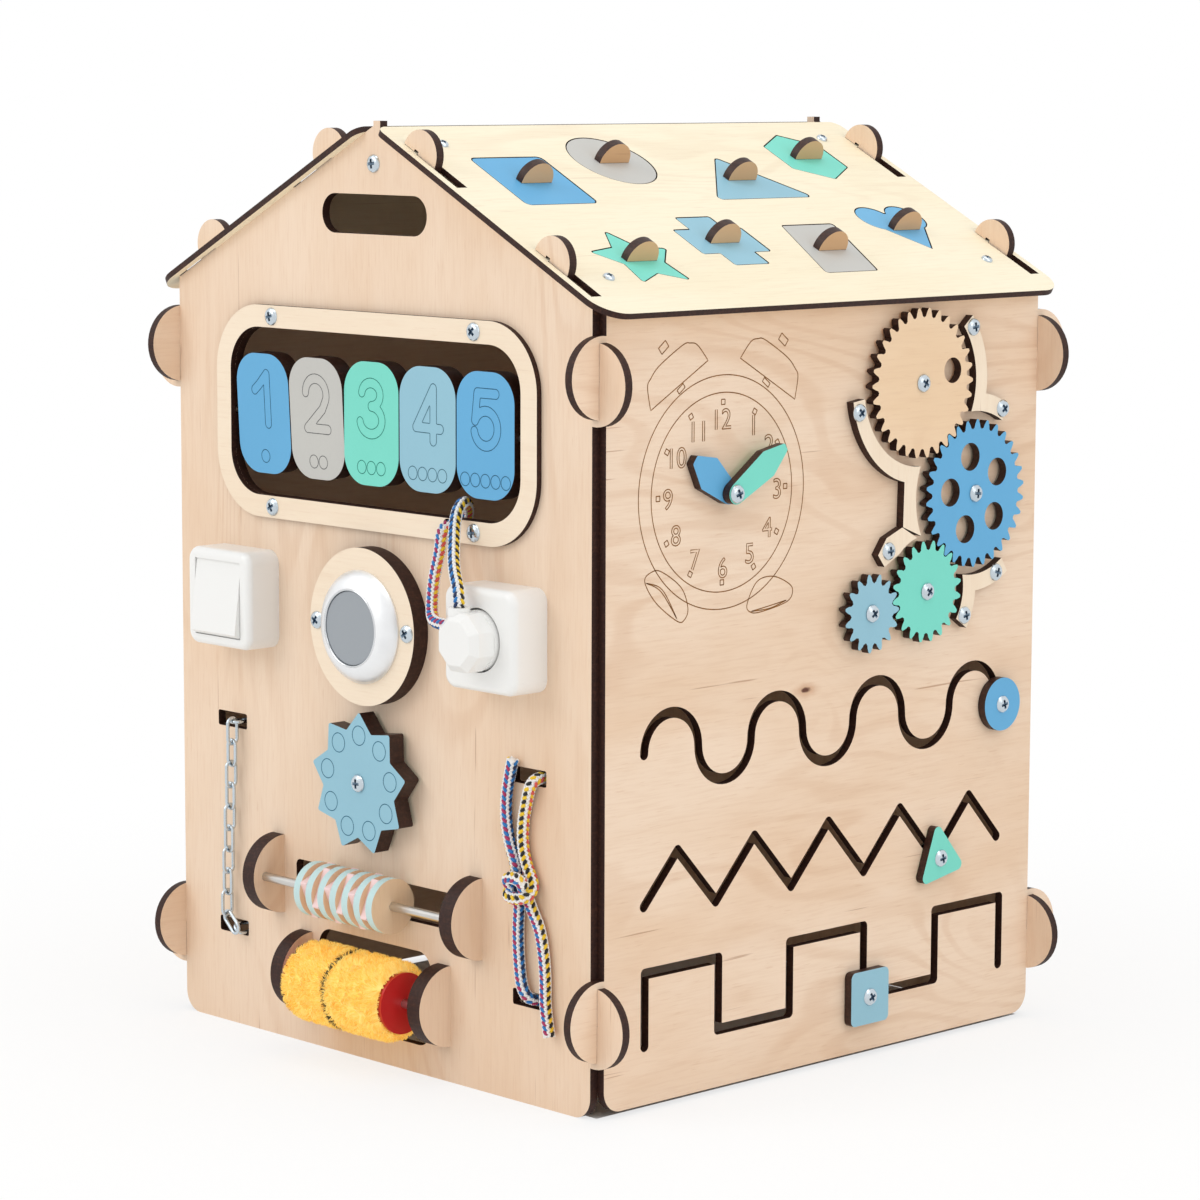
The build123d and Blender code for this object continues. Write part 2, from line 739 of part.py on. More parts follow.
cup = Pos(0, 0, body_low) * Cylinder(
    lamp_hole_radius - seat_play, -body_low, align=(Align.CENTER, Align.CENTER, Align.MIN)
)
well_depth = -button_back + lamp_travel + 2.0
cup -= Pos(0, 0, -well_depth) * Cylinder(
    bezel_bore, well_depth + 1, align=(Align.CENTER, Align.CENTER, Align.MIN)
)
export("lamp_body", lamp_axis * cup)

# ================================================================ socket and plug
socket_axis = front * Pos(socket_x, fixture_z)
pin_places = [(-pin_spread, 0), (pin_spread, 0)]
recess = Pos(0, 0, socket_depth - recess_depth) * Cylinder(
    recess_radius, recess_depth + 1, align=(Align.CENTER, Align.CENTER, Align.MIN)
)
socket = housing(socket_x, socket_depth) - socket_axis * recess
for place in pin_places:
    pin_bore = Cylinder(pin_radius + pin_play, pin_length + 1, align=(Align.CENTER, Align.CENTER, Align.MAX))
    socket -= socket_axis * Pos(*place, socket_depth - recess_depth) * pin_bore
export("socket_housing", socket)

plug_back = socket_depth - recess_depth + seat_play
grip = RegularPolygon(plug_grip_flat, plug_grip_sides, major_radius=False)
grip = Rot(0, 0, 180 / plug_grip_sides) * grip
grip = extrude(Plane.XY.offset(plug_grip_h) * grip, plug_front_h - plug_grip_h)
grip = chamfer(grip.faces().sort_by(Axis.Z)[-1].edges(), plug_bevel)
grip = fillet(grip.edges().filter_by(lambda e: e.center().Z > plug_grip_h + 0.1), 1.4)
plug = upright(plug_radius, plug_back, plug_grip_h) + grip
boss_axis = Plane(origin=(plug_boss_x, plug_radius - 3.0, plug_boss_h), x_dir=(1, 0, 0), z_dir=(0, 1, 0))
plug += extrude(boss_axis * Circle(plug_boss_radius), 5.0)
for place in pin_places:
    plug += Pos(*place, plug_back) * Cylinder(
        pin_radius, pin_length, align=(Align.CENTER, Align.CENTER, Align.MAX)
    )
export("plug", socket_axis * plug)

# ================================================================ star wheel
star_outline = star_shape(star_tips, star_radius, star_root, star_phase)
star_outline = fillet(star_outline.vertices(), 1.6)
star_outline -= Circle(screw_shank + shaft_play)
star = board(front, Pos(0, star_z) * star_outline, star_h, star_h + star_layers * ply)
export("star_wheel", star)

# ================================================================ chain
def link_solid():
    """One welded link about the origin, lying in the XZ plane with its length along Z."""
    straight = (link_length - link_width) / 2
    radius = (link_width - link_wire) / 2
    path = Line((radius, 0, -straight), (radius, 0, straight))
    path += ThreePointArc((radius, 0, straight), (0, 0, straight + radius), (-radius, 0, straight))
    path += Line((-radius, 0, straight), (-radius, 0, -straight))
    path += ThreePointArc((-radius, 0, -straight), (0, 0, -straight - radius), (radius, 0, -straight))
    section = Plane(origin=(radius, 0, -straight), z_dir=(0, 0, 1)) * Circle(link_wire / 2)
    return sweep(section, path=path)


def chain_point(x, h, z):
    return Pos(x, front_y - h, z)


link = link_solid()
wire_h = chain_h - link_length / 2 + link_wire / 2              # middle of the links that pass the holes
pin_h = -ply - chain_pin / 2 - 0.1
first_x = chain_hole_x + chain_aside[0]
last_x = chain_hole_x + chain_aside[1]
aside = 2 * link_reach * sin(radians(chain_lean))
pieces = [
    chain_point(first_x, wire_h, strap_high_z) * Rot(90, 0, 0) * link,
    chain_point(first_x, pin_h, strap_high_z) * Cylinder(chain_pin / 2, chain_pin_length),
]
for k in range(chain_links):
    x = first_x + (last_x - first_x) * k / (chain_links - 1)
    turn = 90 if k % 2 == 0 else 0
    z = strap_high_z - link_reach - k * link_step
    pieces.append(chain_point(x, chain_h, z) * Rot(0, 0, turn) * link)
middle_z = strap_low_z + chain_drop / 2
lower_pin = Rot(0, 90 - chain_lean, 0) * Cylinder(chain_pin / 2, chain_pin_length)
pieces += [
    chain_point(last_x + aside / 2, chain_h, middle_z) * Rot(0, -chain_lean, 0) * link,
    chain_point(last_x + aside, wire_h, strap_low_z) * Rot(0, -chain_lean, 0) * Rot(90, 0, 90) * link,
    chain_point(last_x + aside, pin_h, strap_low_z) * lower_pin,
]
export("chain", *pieces)

# ================================================================ rollers
def bracket_pair(inner_faces, z):
    """Two brackets of glued layers; the inner layer holds the rod and the outer one hides its end."""
    pieces = []
    left, right_face = inner_faces
    profile = Circle(bracket_radius) & box_at(0, bracket_radius, -bracket_radius, bracket_radius)
    profile += box_at(-ply, 0, -tenon_length / 2, tenon_length / 2)
    bored = profile - Pos(rod_roller_h, 0) * Circle(rod_roller_diameter / 2 + shaft_play)
    for inner, outward in ((left, -1), (right_face, 1)):
        for k in range(bracket_layers):
            near = inner + outward * k * ply
            x0 = min(near, near + outward * ply)
            plane = Plane(origin=(x0, front_y, z), x_dir=(0, -1, 0), z_dir=(1, 0, 0))
            layer = bored if k == 0 else profile
            pieces.append(extrude(plane * mirror(layer, Plane.XZ), ply))
    return pieces


def roller_rod(inner_faces, z):
    x0 = inner_faces[0] - ply + rod_end_play
    x1 = inner_faces[1] + ply - rod_end_play
    plane = Plane(origin=(x0, front_y - rod_roller_h, z), x_dir=(0, 1, 0), z_dir=(1, 0, 0))
    return extrude(plane * Circle(rod_roller_diameter / 2), x1 - x0)


rod_radius = rod_roller_diameter / 2
export("drum_brackets", *bracket_pair(drum_bracket_x, drum_z))
export("drum_rod", roller_rod(drum_bracket_x, drum_z))

drum_layers = 2 * drum_discs - 1
drum_start = drum_middle - drum_layers * ply / 2
disc_solids = []
spacer_solids = []
for k in range(drum_layers):
    plane = Plane(
        origin=(drum_start + k * ply, front_y - rod_roller_h, drum_z), x_dir=(0, 1, 0), z_dir=(1, 0, 0)
    )
    if k % 2 == 0:
        layer = Circle(drum_radius) - Circle(rod_radius + shaft_play)
        disc_solids.append(extrude(plane * layer, ply))
    else:
        square = Rot(0, 0, 22.5 + 45 * (k // 2)) * RectangleRounded(spacer_side, spacer_side, 1.0)
        spacer_solids.append(extrude(plane * (square - Circle(rod_radius + shaft_play)), ply))
export("drum_discs", *disc_solids)
export("drum_spacers", *spacer_solids)

export("sleeve_brackets", *bracket_pair(sleeve_bracket_x, sleeve_z))
export("sleeve_axle", roller_rod(sleeve_bracket_x, sleeve_z))
sleeve_plane = Plane(
    origin=(sleeve_ends[0], front_y - rod_roller_h, sleeve_z), x_dir=(0, 1, 0), z_dir=(1, 0, 0)
)
sleeve_length = sleeve_ends[1] - sleeve_ends[0]
sleeve_ring = Circle(sleeve_radius) - Circle(sleeve_bore)
export("paint_roller_sleeve", extrude(sleeve_plane * sleeve_ring, sleeve_length))
hub_tail = 14.0
hub_solids = []
for x, inward in ((sleeve_ends[0], 1), (sleeve_ends[1], -1)):
    hub_plane = Plane(origin=(x, front_y - rod_roller_h, sleeve_z), x_dir=(0, 1, 0), z_dir=(1, 0, 0))
    bore = Circle(rod_radius + shaft_play)
    flange = extrude(hub_plane * (Circle(sleeve_bore + 2.5) - bore), -inward * hub_flange)
    tail = extrude(hub_plane * (Circle(sleeve_bore) - bore), inward * hub_tail)
    hub_solids.append(flange + tail)
export("sleeve_hubs", *hub_solids)

# ================================================================ clock hands
def hand(length, widest, half_width, tip, tail, bore):
    """A leaf-shaped hand along +x with a round tail about the pivot."""
    leaf = polygon(
        (-tail * 0.3, tail), (widest, half_width), (length, tip), (length, -tip), (widest, -half_width),
        (-tail * 0.3, -tail),
    )
    leaf = fillet(leaf.vertices(), 1.4)
    return leaf + Circle(tail) - Circle(bore)


clock_place = Pos(clock_y, clock_z)
hand_bore = screw_shank + shaft_play
hour = clock_place * Rot(0, 0, hour_angle) * hand(hour_length, 22.6, 11.5, 3.2, 7.0, hand_bore)
minute = clock_place * Rot(0, 0, minute_angle) * hand(minute_length, 33.0, 9.2, 2.6, 6.6, hand_bore)
hour_h = seat_play
minute_h = hour_h + ply + seat_play
export("hour_hand", board(right, hour, hour_h, hour_h + ply))
export("minute_hand", board(right, minute, minute_h, minute_h + ply))


# ================================================================ gears
def involute_angle(radius, base):
    if radius <= base:
        return 0.0
    a = acos(base / radius)
    return tan(a) - a


def gear_outline(teeth, phase):
    """Involute teeth with rounded roots, drawn about the origin; phase points at a tooth."""
    pitch = pitch_radius(teeth)
    base = pitch * cos(radians(pressure_angle))
    outer = pitch + addendum * gear_module
    root = pitch - dedendum * gear_module
    half_tooth = (pi * gear_module / 2 - backlash) / (2 * pitch) + involute_angle(pitch, base)
    radii = [max(root + 0.8, base), pitch - 0.5, pitch + addendum * gear_module / 2, outer]
    points = []
    for k in range(teeth):
        middle = radians(phase) + 2 * pi * k / teeth
        for r in radii:
            a = middle - (half_tooth - involute_angle(r, base))
            points.append((r * cos(a), r * sin(a)))
        for r in reversed(radii):
            a = middle + (half_tooth - involute_angle(r, base))
            points.append((r * cos(a), r * sin(a)))
        valley = middle + pi / teeth
        points.append((root * cos(valley), root * sin(valley)))
    return polygon(*points)


def mesh_phase(direction, phase, teeth, other_teeth):
    """Tooth phase of a gear that meshes with one at the given direction and phase."""
    return direction + 180 + 180 / other_teeth - (phase - direction) * teeth / other_teeth


blue_phase = 4.6
large_phase = mesh_phase(large_direction, blue_phase, blue_teeth, large_teeth)
mint_phase = mesh_phase(mint_direction, blue_phase, blue_teeth, mint_teeth)
small_phase = mesh_phase(small_direction, mint_phase, mint_teeth, small_teeth)
gear_bore_cut = Circle(gear_bore + shaft_play)
blue_turns = [blue_hole_phase + 360 * k / blue_hole_count for k in range(blue_hole_count)]
blue_hole_places = [polar((0, 0), turn, blue_hole_reach) for turn in blue_turns]
blue_holes = holes(blue_hole_places, finger_hole + finger_hole_play)
gear_table = {
    "large_gear": (large_place, large_teeth, large_phase, holes([large_hole], finger_hole)),
    "blue_gear": (blue_place, blue_teeth, blue_phase, blue_holes),
    "mint_gear": (mint_place, mint_teeth, mint_phase, []),
    "small_gear": (small_place, small_teeth, small_phase, []),
}
for name, (place, teeth, phase, cutters) in gear_table.items():
    outline = cut_all(gear_outline(teeth, phase) - gear_bore_cut, cutters)
    low = gear_h + seat_play
    export(name, board(right, Pos(*place) * outline, low, low + ply))

# ================================================================ gear guides
def ring_sector(centre, inner, outer, start, end):
    return Pos(*centre) * arc_band(inner, outer, start, end)


# corners of the web beside the blue gear in units of its fence, and of the foot around its screw
web_corners = ((-1.255, 0.224), (-1.02, 0.46), (-0.9, 0.4), (-0.9, -0.468), (-1.27, -0.32))
foot_corners = ((13.0, 14.5), (-2.0, 8.7), (-10.0, -1.9), (-3.7, -10.0), (28.0, 6.4))
left_guide = ring_sector(large_place, large_fence, large_fence + guide_bar, 188, 272)
left_guide += Pos(*blue_place) * polygon(*[(blue_fence * a, blue_fence * b) for a, b in web_corners])
left_guide += Pos(*left_guide_screws[1]) * polygon(*foot_corners)
left_guide -= Pos(*large_place) * Circle(large_fence)
left_guide -= Pos(*blue_place) * Circle(blue_fence + 2.5)
left_guide -= Pos(*mint_place) * Circle(mint_fence - 1.0)

upper_guide = ring_sector(large_place, large_fence, large_fence + guide_bar, -24, 40)
upper_guide += ring_sector(blue_place, blue_fence, blue_fence + guide_bar + 1.0, 59, 95)
upper_guide -= Pos(*large_place) * Circle(large_fence)
upper_guide -= Pos(*blue_place) * Circle(blue_fence)

lower_guide = ring_sector(blue_place, blue_fence, blue_fence + guide_bar, -104, -57)
lower_guide += ring_sector(mint_place, mint_fence, mint_fence + guide_bar + 1.5, -34, 14)
lower_guide -= Pos(*blue_place) * Circle(blue_fence)
lower_guide -= Pos(*mint_place) * Circle(mint_fence)

guide_solids = []
for guide, screws in (
    (left_guide, left_guide_screws),
    (upper_guide, upper_guide_screws),
    (lower_guide, lower_guide_screws),
):
    guide_solids.append(board(right, cut_all(guide, holes(screws, screw_shank + screw_play)), 0, ply))
export("gear_guides", *guide_solids)


# ================================================================ track sliders
def slider(outline, place, name):
    """Face plate, and the screw with its sleeve through the track and washer behind the panel."""
    plate = outline - Circle(screw_shank + screw_play)
    export(name, board(right, Pos(*place) * plate, slider_h, slider_h + ply))
    behind = -ply - seat_play
    fixing = screw(right, place, slider_h + ply, ply)
    fixing += board(right, Pos(*place) * Circle(slider_sleeve), behind, slider_h)
    fixing += board(right, Pos(*place) * Circle(slider_washer), behind - 2.0, behind)
    export(f"{name}_fixing", fixing)


round_place = polar(last_arc, -wave_over, wave_radius)
triangle_place = (3 * zig_step, zig_low)
square_place = (square_posts[3], square_low)
triangle = fillet(polygon(*regular(3, 26.0, 100)).vertices(), 4.0)
slider(Circle(slider_radius), round_place, "round_slider")
slider(triangle, triangle_place, "triangle_slider")
slider(RectangleRounded(slider_side, slider_side, 4.0), square_place, "square_slider")

# ================================================================ screws
front_screws = [screw(front, place, thin_ply, thin_ply + ply) for place in frame_screws]
front_screws += [screw(front, place, ring_top, ring_top + ply) for place in lamp_screws]
front_screws += [screw(front, (0, apex_screw_z), 0, ply), screw(back, (0, apex_screw_z), 0, ply)]
star_top = star_h + star_layers * ply
front_screws += [screw(front, (0, star_z), star_top + seat_play, star_top + seat_play + ply)]
star_washer = Circle(star_washer_radius) - Circle(screw_shank + screw_play)
front_screws += [board(front, Pos(0, star_z) * star_washer, 0, star_h - seat_play)]
export("front_screws", *front_screws)

side_screws = [screw(right, place, ply, 2 * ply) for place in guide_screws]
clock_top = minute_h + ply + seat_play
side_screws += [screw(right, (clock_y, clock_z), clock_top, clock_top + ply)]
gear_top = gear_h + 2 * seat_play + ply
for place in gear_places:
    pin = board(right, Pos(*place) * Circle(gear_bore), 0, gear_top)
    collar = board(right, Pos(*place) * Circle(gear_collar), 0, gear_h)
    side_screws.append(pin + collar + screw(right, place, gear_top, gear_top + ply))
export("side_screws", *side_screws)


# ================================================================ cords
def cord(route, diameter, label):
    """A tube of straight runs and tangent arcs along a route of (x, h, z) points."""
    points = [Vector(x, front_y - h, z) for x, h, z in route]
    radii = []
    for a, b, c in zip(points, points[1:], points[2:]):
        turn = (b - a).get_angle(c - b)
        run = min((b - a).length, (c - b).length)
        radii.append(0.45 * run / tan(radians(turn / 2)))
    path = FilletPolyline(*points, radius=radii)
    section = Plane(origin=points[0], z_dir=points[1] - points[0]) * Circle(diameter / 2)
    tube = sweep(section, path=path)
    expected = pi * diameter**2 / 4 * path.length
    listed = ", ".join(f"{r:.0f}" for r in radii)
    print(f"{label}: length {path.length:.1f}, volume {tube.volume / expected:.4f} of section x length")
    print(f"  radii {listed}")
    return tube


rope_high_route = [
    (154.0, -6.4, 209.0), (154.5, 0.5, 209.3), (154.0, 6.5, 206.0), (149.5, 5.0, 196.0), (145.3, 4.6, 181.0),
    (144.0, 4.6, 162.0), (147.0, 6.5, 151.0),
]
rope_high_end = [
    (138.0, 7.0, 150.0), (132.8, 4.8, 166.0), (129.0, 4.6, 184.0), (131.2, 4.8, 203.0), (137.0, 5.6, 219.5),
]
rope_low_route = [
    (142.8, 6.4, 128.8), (140.6, 4.6, 110.0), (141.8, 4.6, 90.5), (145.8, 6.0, 75.0), (150.0, 3.0, 67.6),
    (151.0, -6.4, 67.3),
]
rope_low_end = [
    (154.2, 7.0, 130.0), (160.6, 4.8, 118.5), (164.2, 4.6, 102.0), (166.0, 4.6, 84.0), (165.6, 4.6, 65.0),
    (170.3, 5.2, 48.5),
]
export("rope_upper", cord(rope_high_route, rope_diameter, "rope from the upper hole"),
       cord(rope_high_end, rope_diameter, "its free end"))
export("rope_lower", cord(rope_low_route, rope_diameter, "rope from the lower hole"),
       cord(rope_low_end, rope_diameter, "its free end"))
knot_middle = (146.8, 139.7)
knot_solid = scale(Sphere(knot_size[0]), by=(1, knot_size[1] / knot_size[0], knot_size[2] / knot_size[0]))
stop_knots = [
    Pos(end[0], front_y + ply + stop_knot_radius + 1.0 - seat_play, end[2]) * Sphere(stop_knot_radius)
    for end in (rope_high_route[0], rope_low_route[-1])
]
export(
    "rope_knot",
    Pos(knot_middle[0], front_y - knot_size[1] - seat_play, knot_middle[1]) * knot_solid,
    *stop_knots,
)

boss_top = fixture_z + plug_radius + 2.0 + seat_play
boss_x = socket_x + plug_boss_x
plug_cord = [
    (boss_x, plug_boss_h, boss_top), (boss_x, plug_boss_h, boss_top + 9.0), (111.5, 31.0, 337.0),
    (100.5, 21.0, 350.0), (92.0, 13.0, 362.0), (88.5, 8.6, 368.8), (87.5, 0.0, 372.3), (87.0, -9.5, 369.0),
    (86.5, -11.5, cord_hole_z), (cord_hole_x, -11.5, cord_hole_z), (cord_hole_x, 11.0, cord_hole_z),
    (78.6, 11.5, 347.0), (77.6, 17.0, 334.0), (79.5, 22.0, 323.0), (84.0, 27.0, 313.0),
    (94.5, 33.5, 303.0), (socket_x - plug_radius, 33.5, 303.0),
]
export("plug_cord", cord(plug_cord, cord_diameter, "plug cord"))
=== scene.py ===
import bpy, bmesh, json, math, random
from mathutils import Matrix, Vector

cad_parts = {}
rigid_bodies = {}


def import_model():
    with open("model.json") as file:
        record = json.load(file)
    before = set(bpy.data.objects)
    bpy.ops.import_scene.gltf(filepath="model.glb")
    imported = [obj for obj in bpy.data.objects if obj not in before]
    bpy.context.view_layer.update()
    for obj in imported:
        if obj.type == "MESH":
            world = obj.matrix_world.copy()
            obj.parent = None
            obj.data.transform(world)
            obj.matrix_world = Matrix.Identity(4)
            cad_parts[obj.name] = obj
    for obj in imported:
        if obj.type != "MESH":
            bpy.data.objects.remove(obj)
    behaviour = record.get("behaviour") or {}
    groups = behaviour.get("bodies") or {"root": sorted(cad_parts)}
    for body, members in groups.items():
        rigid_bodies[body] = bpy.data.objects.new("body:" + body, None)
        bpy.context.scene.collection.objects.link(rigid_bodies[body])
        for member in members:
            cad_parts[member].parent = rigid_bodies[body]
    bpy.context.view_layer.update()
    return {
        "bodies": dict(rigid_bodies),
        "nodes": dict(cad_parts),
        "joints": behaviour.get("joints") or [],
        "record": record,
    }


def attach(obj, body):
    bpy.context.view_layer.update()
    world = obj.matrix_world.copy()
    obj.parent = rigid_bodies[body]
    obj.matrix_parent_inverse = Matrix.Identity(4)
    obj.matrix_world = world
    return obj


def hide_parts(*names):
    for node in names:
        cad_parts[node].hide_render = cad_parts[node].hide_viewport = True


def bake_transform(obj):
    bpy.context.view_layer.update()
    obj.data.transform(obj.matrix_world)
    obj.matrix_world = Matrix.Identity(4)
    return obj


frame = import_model()
mm = 0.001
random.seed(7)

# the house, in millimetres
house = {
    "slope": math.radians(27.2), "frontY": -196.1, "backY": 217.9, "middleY": 10.9, "sideX": 207.5,
    "roofTop": 612.746, "ply": 6.0,
}
slopeSin, slopeCos = math.sin(house["slope"]), math.cos(house["slope"])


class Face:  # a flat face that pieces lie on, with its across, up and outward directions
    def __init__(self, origin, across, up):
        self.origin, self.across, self.up = Vector(origin) * mm, Vector(across), Vector(up)
        self.out = self.across.cross(self.up)

    def at(self, x, z, h=0.0):
        return self.origin + (self.across * x + self.up * z + self.out * h) * mm

    def turned(self, x, z, degrees):  # the same face about another point, turned anticlockwise
        a = math.radians(degrees)
        across = self.across * math.cos(a) + self.up * math.sin(a)
        return Face(self.at(x, z) / mm, across, self.out.cross(across))


front = Face((0, house["frontY"], 0), (1, 0, 0), (0, 0, 1))
back = Face((0, house["backY"], 0), (-1, 0, 0), (0, 0, 1))
side = Face((house["sideX"], house["middleY"], 0), (0, 1, 0), (0, 0, 1))
roof = Face((0, house["middleY"], house["roofTop"]), (0, 1, 0), (-slopeCos, 0, slopeSin))


def tone(code, shade=1.0):  # a colour as a designer writes it, made linear
    parts = [int(code[i:i + 2], 16) / 255 for i in (1, 3, 5)]
    linear = [c / 12.92 if c <= 0.04045 else ((c + 0.055) / 1.055) ** 2.4 for c in parts]
    return tuple(shade * c for c in linear) + (1.0,)


# the camera, placed in metres
camera = {
    "place": (1.9139, -1.8332, 0.6458), "azimuth": 46.165, "elevation": 7.708, "roll": 0.193, "lens": 118.16,
    "film": 36, "sees": 50,
}


def placeCamera():
    az, el = math.radians(camera["azimuth"]), math.radians(camera["elevation"])
    backWay = Vector((math.sin(az) * math.cos(el), -math.cos(az) * math.cos(el), math.sin(el)))
    flatRight = Vector((math.cos(az), math.sin(az), 0))
    flatUp = backWay.cross(flatRight)
    turn = math.radians(camera["roll"])
    rightWay = flatRight * math.cos(turn) + flatUp * math.sin(turn)
    upWay = backWay.cross(rightWay)
    lens = bpy.data.cameras.new("camera")
    lens.lens, lens.sensor_width, lens.sensor_fit = camera["lens"], camera["film"], "HORIZONTAL"
    lens.clip_end = camera["sees"]
    eye = bpy.data.objects.new("camera", lens)
    rows = [(rightWay[i], upWay[i], backWay[i], camera["place"][i]) for i in range(3)]
    eye.matrix_world = Matrix(rows + [(0, 0, 0, 1)])
    bpy.context.collection.objects.link(eye)
    bpy.context.scene.camera = eye
    bpy.context.scene.view_settings.view_transform = "Standard"


placeCamera()


class Wire:  # an output socket that can be used in an expression
    def __init__(self, finish, socket):
        self.finish, self.socket = finish, socket

    def maths(self, operation, other, swapped=False):
        pair = {0: other, 1: self} if swapped else {0: self, 1: other}
        return self.finish.node("ShaderNodeMath", {"operation": operation}, pair)

    def __add__(self, other):
        return self.maths("ADD", other)

    def __radd__(self, other):
        return self.maths("ADD", other, True)

    def __sub__(self, other):
        return self.maths("SUBTRACT", other)

    def __rsub__(self, other):
        return self.maths("SUBTRACT", other, True)

    def __mul__(self, other):
        return self.maths("MULTIPLY", other)

    def __rmul__(self, other):
        return self.maths("MULTIPLY", other, True)

    def __truediv__(self, other):
        return self.maths("DIVIDE", other)

    def __gt__(self, other):
        return self.maths("GREATER_THAN", other)

    def __lt__(self, other):
        return self.maths("LESS_THAN", other)

    def __abs__(self):
        return self.maths("ABSOLUTE", 0.0)


class Finish:  # a material with one Principled shader and the nodes that feed it
    def __init__(self, name, **plain):
        self.material = bpy.data.materials.new(name)
        self.material.use_nodes = True
        self.tree = self.material.node_tree
        self.tree.nodes.clear()
        self.shader = self.tree.nodes.new("ShaderNodeBsdfPrincipled")
        self.end = self.tree.nodes.new("ShaderNodeOutputMaterial")
        self.tree.links.new(self.shader.outputs[0], self.end.inputs[0])
        for key, value in plain.items():
            self.shader.inputs[key.replace("_", " ")].default_value = value

    def node(self, kind, settings=None, sockets=None, out=0):
        made = self.tree.nodes.new(kind)
        for key, value in (settings or {}).items():
            setattr(made, key, value)
        for key, value in (sockets or {}).items():
            if isinstance(value, Wire):
                self.tree.links.new(value.socket, made.inputs[key])
            else:
                made.inputs[key].default_value = value
        return Wire(self, made.outputs[out])

    def feed(self, **wires):
        for key, wire in wires.items():
            self.tree.links.new(wire.socket, self.shader.inputs[key.replace("_", " ")])

    def place(self):
        return self.node("ShaderNodeTexCoord", out="Object")

    def vector(self, operation, a, b, out=0):
        return self.node("ShaderNodeVectorMath", {"operation": operation}, {0: a, 1: b}, out)

    def facing(self, direction):  # how squarely the surface faces a direction, either way
        return abs(self.vector("DOT_PRODUCT", self.node("ShaderNodeTexCoord", out="Normal"), direction, "Value"))

    def along(self, direction, vector=None):
        return self.vector("DOT_PRODUCT", vector or self.place(), direction, "Value")

    def near(self, point):  # distance from a point, in metres
        return self.vector("DISTANCE", self.place(), point, "Value")

    def noise(self, scale, detail=3.0, vector=None, roughness=0.5, distortion=0.0):
        sockets = {"Scale": scale, "Detail": detail, "Roughness": roughness, "Distortion": distortion}
        sockets["Vector"] = vector or self.place()
        return self.node("ShaderNodeTexNoise", None, sockets)

    def grained(self, grainWay, along, across, detail=3.0, roughness=0.5, distortion=0.0, shift=0.0):
        scale = tuple(along if abs(g) > 0.6 else across for g in grainWay)
        moved = self.vector("MULTIPLY", self.place(), scale)
        if shift:
            moved = self.vector("ADD", moved, (shift, shift * 0.7, shift * 1.3))
        return self.noise(1.0, detail, moved, roughness, distortion)

    def mix(self, mask, a, b):
        return self.node("ShaderNodeMix", {"data_type": "RGBA"}, {0: mask, 6: a, 7: b}, 2)

    def steps(self, wire, low, high, start=0.0, end=1.0):  # a smooth change between two values
        sockets = {"Value": wire, "From Min": low, "From Max": high, "To Min": start, "To Max": end}
        return self.node("ShaderNodeMapRange", {"interpolation_type": "SMOOTHSTEP"}, sockets)

    def faceMask(self, direction):  # 1 where the surface faces a direction, 0 on the sides of the cut
        return self.steps(self.facing(direction), 0.6, 0.75)

    def bump(self, height, strength, distance):
        made = self.node("ShaderNodeBump", None, {"Height": height, "Strength": strength, "Distance": distance})
        self.feed(Normal=made)


# wood and paint
wood = {
    "face": "#f0d8c0", "figure": "#e4c3a3", "line": "#cda17c", "streak": "#a67452", "cut": "#2c1610",
    # the roof colours are paler than the walls': painted light, for the strong light falling on the roof's top
    "cutLight": "#4d2d20", "trim": "#f5e4cd", "trimFigure": "#ebd2b4", "roof": "#f7edd3", "roofFigure": "#ecdcb8",
    "knob": "#d9b186", "knobFigure": "#c39465", "backing": "#c9a883", "backingFigure": "#b8946c",
    "growthLines": 105.0, "knot": (-23.0, 250.5), "knotHalo": "#c08a5f", "knotHeart": "#54281a",
}


